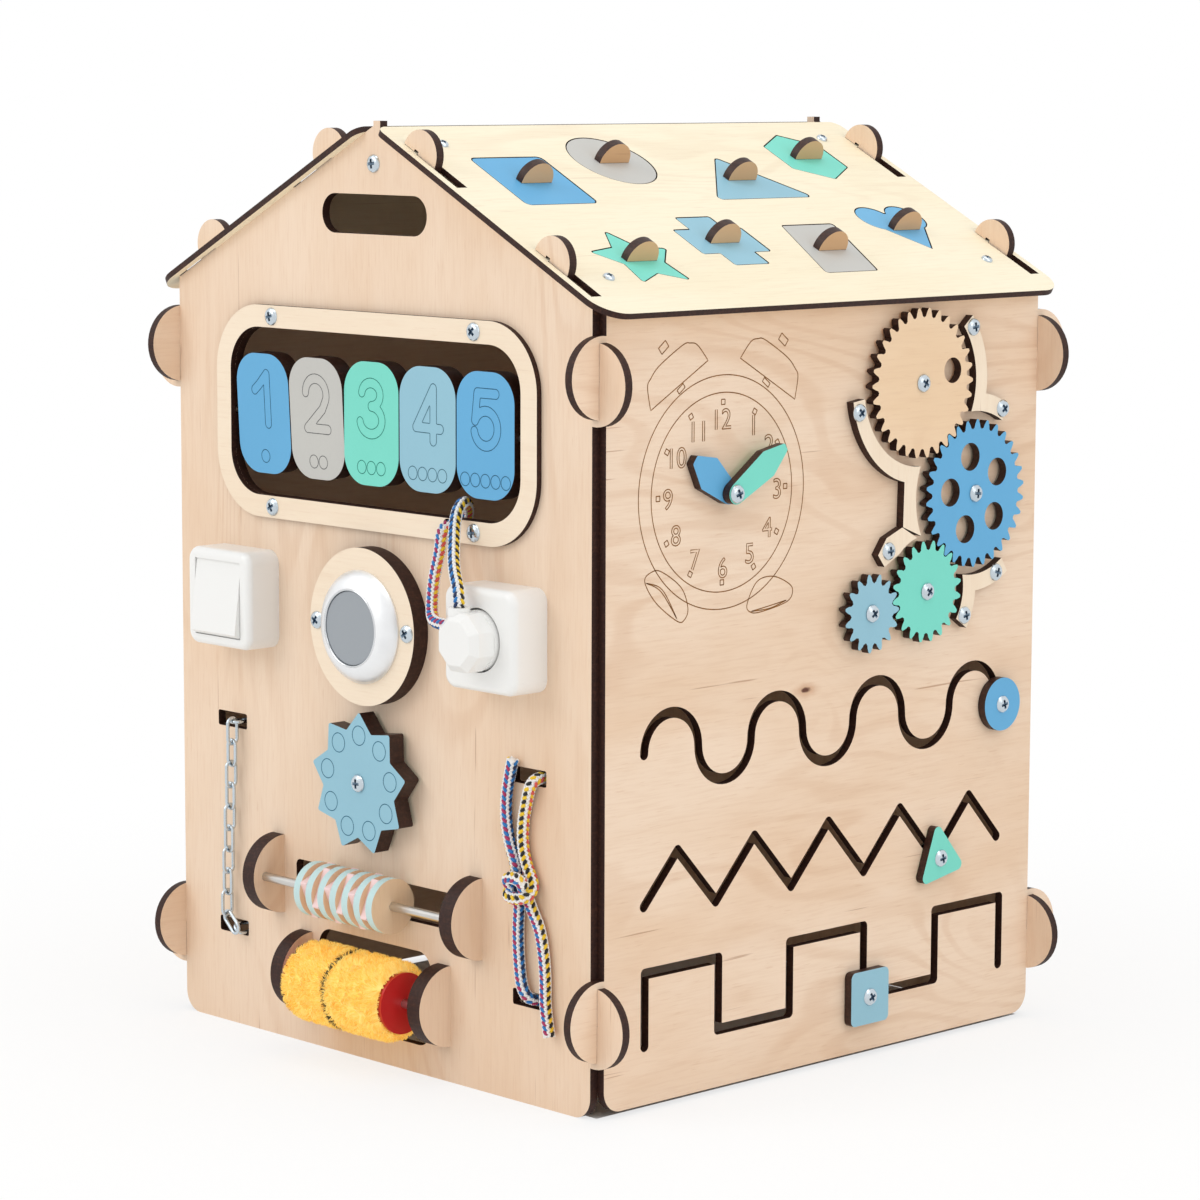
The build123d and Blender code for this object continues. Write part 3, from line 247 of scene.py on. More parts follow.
def figured(finish, grainWay, pale, deep, contrast=1.0, shift=0.0, knot=None):
    # rotary-cut birch: soft clouds, growth lines that wander along the grain, pores and a few streaks
    field = finish.grained(grainWay, 2.2, 9.0, 2.0, 0.45, 0.4, shift)
    if knot:
        field = field + finish.steps(finish.near(knot), 0.0, 0.05, 0.16, 0.0)  # the lines bend round the knot
    growth = finish.node("ShaderNodeMath", {"operation": "SINE"}, {0: field * wood["growthLines"]})
    growth = finish.steps(growth, 0.1, 1.0)
    patches = finish.steps(finish.grained(grainWay, 3.5, 8.0, 2.0, 0.5, 0.0, shift + 3.0), 0.42, 0.66)
    cloud = finish.steps(finish.grained(grainWay, 4.0, 13.0, 4.0, 0.55, 0.3, shift + 7.0), 0.36, 0.7)
    fibre = finish.grained(grainWay, 30.0, 520.0, 3.0, 0.6, 0.0, shift)
    pores = finish.steps(finish.grained(grainWay, 60.0, 900.0, 2.0, 0.5, 0.0, shift + 1.0), 0.63, 0.75)
    streaks = finish.steps(finish.grained(grainWay, 9.0, 330.0, 2.0, 0.4, 0.0, shift + 5.0), 0.735, 0.78)
    colour = finish.mix(cloud * (0.55 * contrast), tone(pale), tone(deep))
    colour = finish.mix(growth * patches * (0.2 * contrast), colour, tone(wood["line"]))
    colour = finish.mix(finish.steps(fibre, 0.4, 0.75) * (0.16 * contrast), colour, tone(wood["line"]))
    colour = finish.mix(pores * (0.22 * contrast), colour, tone(wood["line"]))
    colour = finish.mix(streaks * (0.5 * contrast), colour, tone(wood["streak"]))
    if knot:
        drawnOut = finish.vector("MULTIPLY", finish.vector("SUBTRACT", finish.place(), knot), (1.0, 0.62, 1.5))
        reach = finish.vector("LENGTH", drawnOut, (0, 0, 0), "Value") + finish.noise(170.0, 3.0) * 0.004
        halo = finish.steps(reach, 0.0035, 0.012, 0.55, 0.0)
        colour = finish.mix(halo, colour, tone(wood["knotHalo"]))
        heart = finish.steps(reach, 0.0034, 0.0052, 0.95, 0.0)
        colour = finish.mix(heart, colour, tone(wood["knotHeart"]))
    return colour, fibre


def cutEdge(finish, faceWay, shade=1.0):  # the scorched side of a laser cut
    scorch = finish.noise(500.0, 3.0)
    drips = finish.steps(finish.grained(faceWay, 20.0, 900.0, 2.0), 0.45, 0.75)
    mask = finish.steps(scorch, 0.4, 0.75) * 0.5 + drips * 0.3
    return finish.mix(mask, tone(wood["cut"], shade), tone(wood["cutLight"], shade))


def birchBoard(name, faceWay, grainWay, pale, deep, contrast=1.0, shift=0.0, knot=None):
    finish = Finish(name, Roughness=0.6, Specular_IOR_Level=0.3)
    colour, fibre = figured(finish, grainWay, pale, deep, contrast, shift, knot)
    skin = finish.mix(finish.faceMask(faceWay), cutEdge(finish, faceWay), colour)
    finish.feed(Base_Color=skin, Roughness=fibre * 0.16 + 0.5)
    finish.bump(fibre, 0.08, 0.0001)
    return finish.material


def paintSkin(finish, colourCode):  # a thin even paint with a little of the grain in it
    fibre = finish.noise(700.0, 2.0)
    cloud = finish.steps(finish.noise(18.0, 2.0), 0.3, 0.75)
    colour = finish.mix(cloud * 0.22, tone(colourCode), tone(colourCode, 0.88))
    return finish.mix(finish.steps(fibre, 0.55, 0.8) * 0.15, colour, tone(colourCode, 0.8)), fibre


def paintedBoard(name, colourCode, faceWay):
    finish = Finish(name, Roughness=0.45, Specular_IOR_Level=0.4)
    colour, fibre = paintSkin(finish, colourCode)
    skin = finish.mix(finish.faceMask(faceWay), cutEdge(finish, faceWay), colour)
    finish.feed(Base_Color=skin, Roughness=fibre * 0.12 + 0.4)
    finish.bump(fibre, 0.06, 0.0001)
    return finish.material


def puzzlePaint(name, colourCode):  # a painted shape with a bare half-round knob standing on it
    finish = Finish(name, Roughness=0.5, Specular_IOR_Level=0.4)
    plateWay, knobWay = tuple(roof.out), tuple(roof.up)
    height = finish.along(plateWay) / mm - house["roofTop"] * slopeCos
    paint, fibre = paintSkin(finish, colourCode)
    paint = finish.mix(finish.faceMask(plateWay), cutEdge(finish, plateWay), paint)
    bare, grain = figured(finish, (0, 1, 0), wood["knob"], wood["knobFigure"], 0.8)
    bare = finish.mix(finish.faceMask(knobWay), cutEdge(finish, knobWay), bare)
    finish.feed(Base_Color=finish.mix(height > 0.0, paint, bare))
    finish.bump(grain, 0.08, 0.0001)
    return finish.material


def drumPaint(name, rimCode, faceCode):  # a wheel with a painted rim and bare round faces
    finish = Finish(name, Roughness=0.5, Specular_IOR_Level=0.4)
    rim, fibre = paintSkin(finish, rimCode)
    bare, grain = figured(finish, (0, 0, 1), faceCode, wood["figure"], 0.8)
    finish.feed(Base_Color=finish.mix(finish.faceMask((1, 0, 0)), rim, bare))
    finish.bump(fibre + grain, 0.06, 0.0001)
    return finish.material


def plastic(name, colourCode, roughness=0.3, coat=0.2):
    finish = Finish(name, Coat_Weight=coat, Coat_Roughness=0.15)
    skin = finish.noise(1100.0, 2.0)
    haze = finish.noise(9.0, 2.0)
    finish.feed(
        Base_Color=finish.mix(haze * 0.25, tone(colourCode), tone(colourCode, 0.96)),
        Roughness=skin * 0.08 + (roughness - 0.04),
    )
    finish.bump(skin, 0.015, 0.0001)
    return finish.material


def metal(name, colourCode, roughness=0.25, brushWay=None):
    finish = Finish(name, Metallic=1.0)
    lines = finish.grained(brushWay, 60.0, 2600.0) if brushWay else finish.noise(420.0, 3.0)
    cloud = finish.steps(finish.noise(60.0, 3.0), 0.35, 0.7)
    finish.feed(
        Base_Color=finish.mix(cloud * 0.4, tone(colourCode), tone(colourCode, 0.86)),
        Roughness=lines * 0.1 + (roughness - 0.05),
    )
    finish.bump(lines, 0.05, 0.00005)
    return finish.material


def yarn(name, colourCode):
    finish = Finish(name, Roughness=0.8, Sheen_Weight=0.2, Sheen_Roughness=0.5)
    threads = finish.steps(finish.noise(2400.0, 2.0), 0.35, 0.7)
    finish.feed(Base_Color=finish.mix(threads * 0.35, tone(colourCode), tone(colourCode, 0.7)))
    finish.bump(threads, 0.3, 0.0002)
    return finish.material


def burnt(name, colourCode):  # the thin line that a laser engraves
    finish = Finish(name, Roughness=0.9, Specular_IOR_Level=0.1)
    uneven = finish.steps(finish.noise(350.0, 2.0), 0.3, 0.7)
    finish.feed(Base_Color=finish.mix(uneven, tone(colourCode), tone(colourCode, 0.6)))
    return finish.material


xWay, yWay, zWay = (1, 0, 0), (0, 1, 0), (0, 0, 1)
leftRoofWay = (-slopeSin, 0, slopeCos)
knotPlace = tuple(side.at(*wood["knot"]))
print("stage: finishes")
finishes = {
    "front": birchBoard("frontBirch", yWay, zWay, wood["face"], wood["figure"]),
    "back": birchBoard("backBirch", yWay, zWay, wood["face"], wood["figure"], shift=4.0),
    "right": birchBoard("rightBirch", xWay, yWay, wood["face"], wood["figure"], 1.15, 2.0, knotPlace),
    "left": birchBoard("leftBirch", xWay, yWay, wood["face"], wood["figure"], shift=9.0),
    # the roof boards take the paler roof colours and less figure: painted light on the roof's top
    "roof": birchBoard("roofBirch", tuple(roof.out), yWay, wood["roof"], wood["roofFigure"], 0.6, 1.0),
    "leftRoof": birchBoard("leftRoofBirch", leftRoofWay, yWay, wood["roof"], wood["roofFigure"], 0.6, 6.0),
    "backing": birchBoard("backingBirch", tuple(roof.out), yWay, wood["backing"], wood["backingFigure"]),
    "trimY": birchBoard("frameBirch", yWay, xWay, wood["trim"], wood["trimFigure"], 0.5),
    "trimX": birchBoard("trimBirch", xWay, zWay, wood["trim"], wood["trimFigure"], 0.6),
    "bracket": birchBoard("bracketBirch", xWay, zWay, wood["face"], wood["figure"], 0.9, 2.5),
    "gearBirch": birchBoard("gearBirch", xWay, yWay, "#efd2b0", "#e2be96", 0.9, 3.5),
    "drum": drumPaint("drumRims", "#c2dede", "#e9cdab"),
    "spacer": plastic("spacerPaint", "#f3d4d3", 0.5, 0.0),
    "white": plastic("whitePlastic", "#f0f0ee"),
    "silver": metal("silverDome", "#f2f3f4", 0.4),
    "chrome": metal("chromeRim", "#d9dbdd", 0.1),
    "disc": plastic("greyDisc", "#9aa0a6", 0.5, 0.0),
    "black": plastic("blackMoulding", "#1c1c1d", 0.5, 0.0),
    "red": plastic("redHub", "#c4161c", 0.35, 0.3),
    "zinc": metal("zincScrew", "#c9d3da", 0.22),
    # the cross recess gets a darker blue-grey than the head: painted shade in the recess
    "recess": metal("screwRecessPaintedShade", "#76899a", 0.4),
    "rod": metal("steelRod", "#cfcdc9", 0.3, xWay),
}
paints = {"blue": "#6bb1db", "grey": "#c3c2bd", "mint": "#79dac8", "pale": "#92c1d3", "sky": "#62acd9"}
for paintName, code in paints.items():
    finishes[paintName + "Y"] = paintedBoard(paintName + "OnFront", code, yWay)
    finishes[paintName + "X"] = paintedBoard(paintName + "OnSide", code, xWay)
    finishes[paintName + "Roof"] = puzzlePaint(paintName + "OnRoof", code)

nodeFinish = {
    "front_panel": "front", "back_panel": "back", "right_panel": "right", "left_panel": "left",
    "right_roof_panel": "roof", "left_roof_panel": "leftRoof", "roof_backing_board": "backing",
    "window_frame": "trimY", "lamp_ring": "trimY", "drum_brackets": "bracket", "sleeve_brackets": "bracket",
    "gear_guides": "trimX", "large_gear": "gearBirch", "number_block_1": "skyY", "number_block_2": "greyY",
    "number_block_3": "mintY", "number_block_4": "paleY", "number_block_5": "skyY", "star_wheel": "paleY",
    "drum_discs": "drum", "drum_spacers": "spacer", "hour_hand": "skyX", "minute_hand": "mintX",
    "blue_gear": "skyX", "mint_gear": "mintX", "small_gear": "paleX", "round_slider": "skyX",
    "triangle_slider": "mintX", "square_slider": "paleX", "puzzle_square": "skyRoof",
    "puzzle_circle": "greyRoof", "puzzle_triangle": "paleRoof", "puzzle_hexagon": "mintRoof",
    "puzzle_star": "mintRoof", "puzzle_cross": "paleRoof", "puzzle_rhomboid": "greyRoof",
    "puzzle_heart": "blueRoof", "switch_housing": "white", "switch_rocker": "white",
    "socket_housing": "white", "plug": "white", "lamp_bezel": "silver", "lamp_button": "disc",
    "lamp_body": "black", "chain": "zinc", "block_rod": "rod", "drum_rod": "rod", "sleeve_axle": "rod",
    "sleeve_hubs": "red",
}
for nodeName, finishName in nodeFinish.items():
    carried = bpy.data.objects[nodeName]
    carried.data.materials.clear()
    carried.data.materials.append(finishes[finishName])


ringSides = 40  # points round a turned form


def ringFaces(rings, sides):  # the faces between rings of points
    faces = []
    for n in range(rings - 1):
        for k in range(sides):
            low, high, last = n * sides, (n + 1) * sides, (k + 1) % sides
            faces.append((low + k, low + last, high + last, high + k))
    return faces


class Build:  # collects the parts of one mesh
    def __init__(self):
        self.verts, self.faces, self.indices = [], [], []

    def add(self, verts, faces, index=0):
        start = len(self.verts)
        self.verts += verts
        self.faces += [[start + i for i in face] for face in faces]
        self.indices += [index] * len(faces)

    def piece(self, name, materials, body="house", smooth=True, replaced=()):
        mesh = bpy.data.meshes.new(name)
        mesh.from_pydata([tuple(v) for v in self.verts], [], self.faces)
        for material in materials:
            mesh.materials.append(material)
        mesh.polygons.foreach_set("material_index", self.indices)
        mesh.polygons.foreach_set("use_smooth", [smooth] * len(mesh.polygons))
        made = bpy.data.objects.new(name, mesh)
        bpy.context.collection.objects.link(made)
        if body:
            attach(made, body)
        if replaced:
            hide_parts(*replaced)
        return made

    def lathe(self, face, x, z, profile, index=0, sides=ringSides):  # radius and height pairs turned about a normal
        verts = []
        for radius, height in profile:
            for k in range(sides):
                a = 2 * math.pi * k / sides
                verts.append(face.at(x + radius * math.cos(a), z + radius * math.sin(a), height))
        self.add(verts, ringFaces(len(profile), sides), index)

    def ribbon(self, loop, out, width, index=0):  # a flat closed line
        count, edges = len(loop), []
        for n, point in enumerate(loop):
            way = (loop[(n + 1) % count] - loop[n - 1]).normalized()
            aside = out.cross(way) * (width / 2 * mm)
            edges += [point + aside, point - aside]
        starts = [(2 * n, 2 * ((n + 1) % count)) for n in range(count)]
        self.add(edges, [(a, a + 1, b + 1, b) for a, b in starts], index)


# cords
def centreLine(points):  # points along the NURBS spline that a cord's route controls, in metres
    curve = bpy.data.curves.new("route", "CURVE")
    curve.dimensions = "3D"
    spline = curve.splines.new("NURBS")
    spline.points.add(len(points) - 1)
    for spot, point in zip(spline.points, points):
        spot.co = (*point, 1)
    spline.order_u = 3
    spline.use_endpoint_u = True
    spline.resolution_u = 16
    guide = bpy.data.objects.new("route", curve)
    bpy.context.collection.objects.link(guide)
    bpy.context.view_layer.update()
    mesh = bpy.data.meshes.new_from_object(guide)
    line = [v.co.copy() for v in mesh.vertices]
    bpy.data.objects.remove(guide)
    return line


def evenly(line, gap):  # the same line with points a fixed gap apart
    lengths = [0.0]
    for a, b in zip(line, line[1:]):
        lengths.append(lengths[-1] + (b - a).length)
    count = max(2, round(lengths[-1] / gap))
    points, k = [], 0
    for n in range(count + 1):
        want = lengths[-1] * n / count
        while k < len(line) - 2 and lengths[k + 1] < want:
            k += 1
        span = lengths[k + 1] - lengths[k] or 1e-9
        points.append(line[k].lerp(line[k + 1], (want - lengths[k]) / span))
    return points, lengths[-1]


def carriedFrames(points):  # along, aside and outward directions that turn as little as they can
    alongWays = [(b - a).normalized() for a, b in zip(points, points[1:])]
    alongWays.append(alongWays[-1])
    aside = alongWays[0].orthogonal().normalized()
    frames = []
    for alongWay in alongWays:
        aside = (aside - alongWay * aside.dot(alongWay)).normalized()
        frames.append((alongWay, aside, alongWay.cross(aside)))
    return frames


rope = {  # coloured and white are half the length, width and height of a stitch
    "diameter": 8.0, "pitch": 2.9, "coloured": (2.3, 1.3, 1.0), "slant": 42.0, "white": (1.6, 0.72, 1.12),
    "whiteSlant": 52.0, "core": 3.0, "coreSides": 10,
}
ropeYarns = {
    "white": yarn("whiteYarn", "#fbfaf8"), "navy": yarn("navyYarn", "#1b2e57"), "blue": yarn("blueYarn", "#2b7cc4"),
    "wine": yarn("wineYarn", "#b03060"), "black": yarn("blackYarn", "#17171b"),
    "yellow": yarn("yellowYarn", "#f5cb2a"), "red": yarn("redYarn", "#e05a50"),
}
tieColours = (("wine", "blue"), ("navy", "blue"), ("red", "yellow"), ("black", "yellow"))  # in turn round the rope
plugColours = (("wine", "blue"), ("navy", "blue"), ("black", "yellow"), ("red", "yellow"))


def stitchShape(rows=4, around=6):  # a lozenge of yarn about the origin, long in x
    verts, faces = [(-1, 0, 0)], []
    for r in range(1, rows):
        x = -math.cos(math.pi * r / rows)
        w = math.sin(math.pi * r / rows) ** 0.7
        turns = [2 * math.pi * a / around for a in range(around)]
        verts += [(x, w * math.cos(a), w * math.sin(a)) for a in turns]
    verts.append((1, 0, 0))
    tail = 1 + (rows - 2) * around
    for a in range(around):
        b = (a + 1) % around
        faces.append((0, 1 + b, 1 + a))
        for r in range(rows - 2):
            low, high = 1 + r * around, 1 + (r + 1) * around
            faces.append((low + a, low + b, high + b, high + a))
        faces.append((tail + a, tail + b, len(verts) - 1))
    return verts, faces


def turnedTo(frame, way):  # the angle round a rope at which a direction lies
    alongWay, aside, out = frame
    return math.atan2(way.dot(out), way.dot(aside))


def knittedCord(build, line, colours, shown, size=1.0):  # columns of coloured stitches, white zigzags between them
    points, length = evenly(line, rope["pitch"] * size * mm)
    frames = carriedFrames(points)
    names = list(ropeYarns)
    stitchVerts, stitchFaces = stitchShape()
    sides, core = rope["coreSides"], []
    for (alongWay, aside, out), point in zip(frames, points):
        for k in range(sides):
            a = 2 * math.pi * k / sides
            core.append(point + (aside * math.cos(a) + out * math.sin(a)) * (rope["core"] * size * mm))
    ends = [tuple(range(sides))[::-1], tuple(range(len(core) - sides, len(core)))]
    build.add(core, ringFaces(len(points), sides) + ends, names.index("white"))

    # the rope twists so that the column shown at each of its ends is the one turned to the front
    eighth = math.pi / 4
    toEye = Vector(camera["place"]) - points[0]
    shownAt = (len(points) // 6, -len(points) // 6)
    first, last = (turnedTo(frames[n], toEye) - column * eighth for n, column in zip(shownAt, shown))
    last = first + math.remainder(last - first, 2 * math.pi)
    radius = rope["diameter"] / 2 - rope["coloured"][2]

    def stitch(n, fraction, column, lean, half, colour):
        alongWay, aside, out = frames[n]
        angle = first + (last - first) * n / len(points) + column * eighth
        away = aside * math.cos(angle) + out * math.sin(angle)
        roundWay = alongWay.cross(away)
        longWay = alongWay * math.cos(lean) + roundWay * math.sin(lean)
        wideWay = roundWay * math.cos(lean) - alongWay * math.sin(lean)
        middle = points[n].lerp(points[n + 1], fraction) + away * (radius * size * mm)
        longStep, wideStep, highStep = (way * (h * size * mm) for way, h in zip((longWay, wideWay, away), half))
        verts = [middle + longStep * u + wideStep * v + highStep * w for u, v, w in stitchVerts]
        build.add(verts, stitchFaces, names.index(colour))

    for n in range(len(points) - 1):
        for c, pair in enumerate(colours):
            lean = math.radians(rope["slant"]) * (1 if c % 2 else -1)
            stitch(n, 0.5 * (c % 2), 2 * c, lean, rope["coloured"], pair[n % 2])
            for part in (0, 1):
                lean = math.radians(rope["whiteSlant"]) * (1 if part else -1)
                stitch(n, 0.25 + 0.5 * part, 2 * c + 1, lean, rope["white"], "white")
    return length


def cordPiece(name, route, node, colours, shown, body="house"):
    line = centreLine([front.at(x, z, h) for x, h, z in route])
    build = Build()
    length = knittedCord(build, line, colours, shown)
    return build.piece(name, list(ropeYarns.values()), body, replaced=(node,)), line, length


print("stage: ropes and cord")
upperRoute = (  # x, height above the panel and z
    (154.0, -6.4, 209.0), (154.5, 0.5, 209.3), (154.0, 6.5, 206.0), (149.5, 5.0, 196.0), (145.3, 4.6, 181.0),
    (145.0, 4.6, 165.0), (148.8, 4.8, 154.0), (153.0, 4.9, 147.0), (156.4, 5.6, 140.5), (155.8, 10.4, 135.8),
    (151.4, 13.6, 133.8), (142.2, 13.6, 133.8), (137.8, 10.4, 135.8), (137.2, 5.6, 140.5), (140.2, 4.9, 147.0),
    (138.8, 4.8, 154.0), (132.8, 4.8, 166.0), (129.0, 4.6, 184.0), (131.2, 4.8, 203.0), (137.0, 5.6, 219.5),
)
lowerRoute = (
    (151.0, -6.4, 67.3), (150.0, 3.0, 67.6), (145.8, 6.0, 75.0), (141.8, 4.6, 90.5), (140.6, 4.6, 110.0),
    (142.2, 4.8, 126.0), (142.8, 5.4, 133.5), (142.0, 10.2, 139.5), (139.2, 13.2, 144.4), (143.4, 14.6, 147.0),
    (150.2, 14.6, 147.0), (154.4, 13.2, 144.4), (151.6, 10.2, 139.5), (150.8, 5.4, 133.5), (154.2, 5.0, 126.0),
    (160.6, 4.8, 116.5), (164.2, 4.6, 102.0), (166.0, 4.6, 84.0), (165.6, 4.6, 65.0), (170.3, 5.2, 48.5),
)
for name, route, node, shown in (
    ("upperRope", upperRoute, "rope_upper", (5, 1)), ("lowerRope", lowerRoute, "rope_lower", (1, 7)),
):
    tie, line, length = cordPiece(name, route, node, tieColours, shown)
# an overhand knot behind each rope's hole
stopKnot = {"behind": 14.2, "loop": 1.35, "wave": 2.4, "size": 0.72, "steps": 60}
stopBuild = Build()
for x, h, z in (upperRoute[0], lowerRoute[0]):
    loop = []
    for k in range(stopKnot["steps"] + 1):
        a = 2 * math.pi * k / stopKnot["steps"]
        acrossKnot = stopKnot["loop"] * (math.sin(a) + 2 * math.sin(2 * a))
        upKnot = stopKnot["loop"] * (math.cos(a) - 2 * math.cos(2 * a))
        loop.append(front.at(x + acrossKnot, z + upKnot, stopKnot["wave"] * math.sin(3 * a) - stopKnot["behind"]))
    knittedCord(stopBuild, loop, tieColours, (1, 1), stopKnot["size"])
stopBuild.piece("stopKnots", list(ropeYarns.values()), replaced=("rope_knot",))

plugParts = {"socketX": 129.4, "radius": 19.0, "bossX": 124.4, "bossTop": 316.7, "holeX": 74.5, "holeZ": 359.9}
plugRoute = (
    (plugParts["bossX"], 39.0, plugParts["bossTop"]), (plugParts["bossX"], 39.0, plugParts["bossTop"] + 9.0),
    (110.5, 31.0, 338.0), (99.5, 21.0, 352.0), (91.5, 13.0, 364.0), (89.0, 8.6, 371.5), (86.0, 0.0, 376.5),
    (79.5, -9.5, 371.5), (76.0, -11.5, 362.0), (plugParts["holeX"], -6.0, plugParts["holeZ"]),
    (plugParts["holeX"] + 0.5, 9.0, plugParts["holeZ"]), (76.0, 11.5, 345.0), (76.5, 17.0, 329.0), (80.0, 22.0, 315.0),
    (86.5, 28.0, 306.0), (96.5, 33.5, 303.0), (plugParts["socketX"] - plugParts["radius"], 33.5, 303.0),
)
plugCord, plugLine, plugLength = cordPiece("plugCord", plugRoute, "plug_cord", plugColours, (3, 7), None)
tuple(front.at(100, 352, 20))
tuple(front.at(100, 318, 20))
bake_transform(plugCord)

# screws
screws = {
    "radius": 5.9, "height": 2.4, "roofRadius": 4.0, "shank": 2.0, "length": 6.0, "arm": 0.56, "slot": 0.15,
    "profile": (
        (0.02, 1.0), (0.35, 0.98), (0.6, 0.9), (0.8, 0.72), (0.93, 0.45), (1.0, 0.12), (1.0, 0.0), (0.02, 0.0),
    ),
    "recess": ((0.25, 0.55, 0.7), (1.2, 1.1, 1.2)),  # height, reach and width of its arms at the bottom and the top
    "sides": 16, "tip": 0.3, "bore": 2.1, "clear": 0.3, "ridgeZ": 584.5, "roofDown": (35.0, 206.0),
    "roofAcross": (-176.0, 176.0),
}


def crossHead(radius, height):  # a domed head with a cross recess, as vertices, faces and recess flags
    dome = Build()
    flat = Face((0, 0, 0), xWay, yWay)
    dome.lathe(flat, 0, 0, [(radius * r, height * h) for r, h in screws["profile"]])
    cutter = Build()
    for turn in (0, 90):  # each arm of the cross narrows downwards
        arm = flat.turned(0, 0, turn)
        long, thin, verts = radius * screws["arm"], radius * screws["slot"], []
        for level, reach, wide in screws["recess"]:
            corners = [(-1, -1), (1, -1), (1, 1), (-1, 1)]
            verts += [arm.at(long * reach * a, thin * wide * b, height * level) for a, b in corners]
        cutter.add(verts, [(3, 2, 1, 0), (4, 5, 6, 7), (0, 1, 5, 4), (1, 2, 6, 5), (2, 3, 7, 6), (3, 0, 4, 7)])
    heads = []
    for build in (dome, cutter):
        mesh = bpy.data.meshes.new("screwShape")
        mesh.from_pydata([tuple(v / mm) for v in build.verts], [], build.faces)
        mesh.materials.append(finishes["zinc" if build is dome else "recess"])
        shape = bpy.data.objects.new("screwShape", mesh)
        bpy.context.collection.objects.link(shape)
        heads.append(shape)
    shaped = bmesh.new()
    shaped.from_mesh(heads[0].data)
    for ring in (shaped.verts[:ringSides], shaped.verts[-ringSides:]):
        bmesh.ops.contextual_create(shaped, geom=ring)
    bmesh.ops.recalc_face_normals(shaped, faces=shaped.faces)
    shaped.to_mesh(heads[0].data)
    shaped.free()
    cut = heads[0].modifiers.new("cut", "BOOLEAN")
    cut.object, cut.operation, cut.solver, cut.use_self = heads[1], "DIFFERENCE", "EXACT", True
    ready = heads[0].evaluated_get(bpy.context.evaluated_depsgraph_get())
    mesh = bpy.data.meshes.new_from_object(ready)
    verts = [v.co.copy() for v in mesh.vertices]
    faces = [tuple(p.vertices) for p in mesh.polygons]
    inRecess = []
    for p in mesh.polygons:
        reach = p.center.xy.length
        onWall = reach < radius * 0.62 and p.normal.z < 0.93
        onBottom = reach < radius * 0.5 and p.center.z < height * 0.5
        inRecess.append(onWall or onBottom)
    for shape in heads:
        bpy.data.objects.remove(shape)
    return verts, faces, inRecess


print("stage: screws")
headShapes = {
    "panel": crossHead(screws["radius"], screws["height"]),
    "roof": crossHead(screws["roofRadius"], screws["height"]),
}


def addScrew(build, face, x, z, h, kind="panel"):
    verts, faces, inRecess = headShapes[kind]
    turned = face.turned(x, z, random.uniform(0, 90))
    placed = [turned.at(v.x, v.y, h + v.z) for v in verts]
    build.add(placed, [f for f, low in zip(faces, inRecess) if not low], 0)
    # faces inside the cross recess take the darker finish: painted shade
    build.add(placed, [f for f, low in zip(faces, inRecess) if low], 1)
    shank, tip = screws["shank"], h - screws["length"]
    build.lathe(face, x, z, [(shank, h), (shank, tip), (screws["tip"], tip)], sides=screws["sides"])


def tube(build, face, x, z, outer, inner, low, high, index=0):
    build.lathe(face, x, z, [(inner, low), (outer, low), (outer, high), (inner, high), (inner, low)], index)


screwFinish = [finishes["zinc"], finishes["recess"]]
window = {"z": 420.2, "screwX": 99.0, "screwZ": 62.8, "height": 4.0}
lamp = {
    "z": 288.6, "screwX": 44.3, "height": 12.0, "disc": 24.0, "rimSides": 72,
    "rim": ((0.15, 20.6), (0.25, 22.0), (0.7, 22.5), (1.3, 22.4), (1.6, 21.9)),  # from the disc's edge, height
}
star = {
    "z": 186.8, "top": 15.2, "under": 3.2, "spacer": 8.0, "phase": 89.0, "tips": 9, "ring": 31.4, "circle": 6.3,
    "line": 0.55,
}
frontBuild = Build()
for sx in (-1, 1):
    for sz in (-1, 1):
        addScrew(frontBuild, front, sx * window["screwX"], window["z"] + sz * window["screwZ"], window["height"])
    addScrew(frontBuild, front, sx * lamp["screwX"], lamp["z"], lamp["height"])
for wall in (front, back):
    addScrew(frontBuild, wall, 0, screws["ridgeZ"], 0.0)
addScrew(frontBuild, front, 0, star["z"], star["top"] + screws["clear"])
tube(frontBuild, front, 0, star["z"], star["spacer"], screws["bore"], 0.0, star["under"] - screws["clear"])
frontBuild.piece("frontScrews", screwFinish, smooth=False, replaced=("front_screws",))

gears = {
    "module": 3.09, "blue": (131.0, 367.0), "teeth": {"large": 30, "blue": 30, "mint": 20, "small": 15},
    "directions": {"large": 125.2, "mint": -127.3, "small": 190.3}, "top": 8.1, "pin": 2.5, "pinSides": 24,
    "collar": 8.0, "collarTop": 1.5,
    "guideScrews": ((18.5, 426.7), (48.0, 335.0), (128.5, 477.1), (159.2, 421.6), (155.0, 312.1), (123.6, 286.0)),
}


def fromGear(start, startTeeth, teeth, direction):  # the middle of a gear that meshes with another
    reach = gears["module"] * (startTeeth + teeth) / 2
    a = math.radians(direction)
    return start[0] + reach * math.cos(a), start[1] + reach * math.sin(a)


teeth = gears["teeth"]
largePlace = fromGear(gears["blue"], teeth["blue"], teeth["large"], gears["directions"]["large"])
mintPlace = fromGear(gears["blue"], teeth["blue"], teeth["mint"], gears["directions"]["mint"])
smallPlace = fromGear(mintPlace, teeth["mint"], teeth["small"], gears["directions"]["small"])
clock = {"y": -100.3, "z": 383.6, "top": 12.9}
sideBuild = Build()
for y, z in gears["guideScrews"]:
    addScrew(sideBuild, side, y, z, house["ply"])
addScrew(sideBuild, side, clock["y"], clock["z"], clock["top"])
for y, z in (largePlace, gears["blue"], mintPlace, smallPlace):
    tube(sideBuild, side, y, z, gears["collar"], screws["bore"], 0.0, gears["collarTop"])
    pinProfile = [(gears["pin"], gears["collarTop"]), (gears["pin"], gears["top"])]
    sideBuild.lathe(side, y, z, pinProfile, sides=gears["pinSides"])
    addScrew(sideBuild, side, y, z, gears["top"])
sideBuild.piece("sideScrews", screwFinish, smooth=False, replaced=("side_screws",))

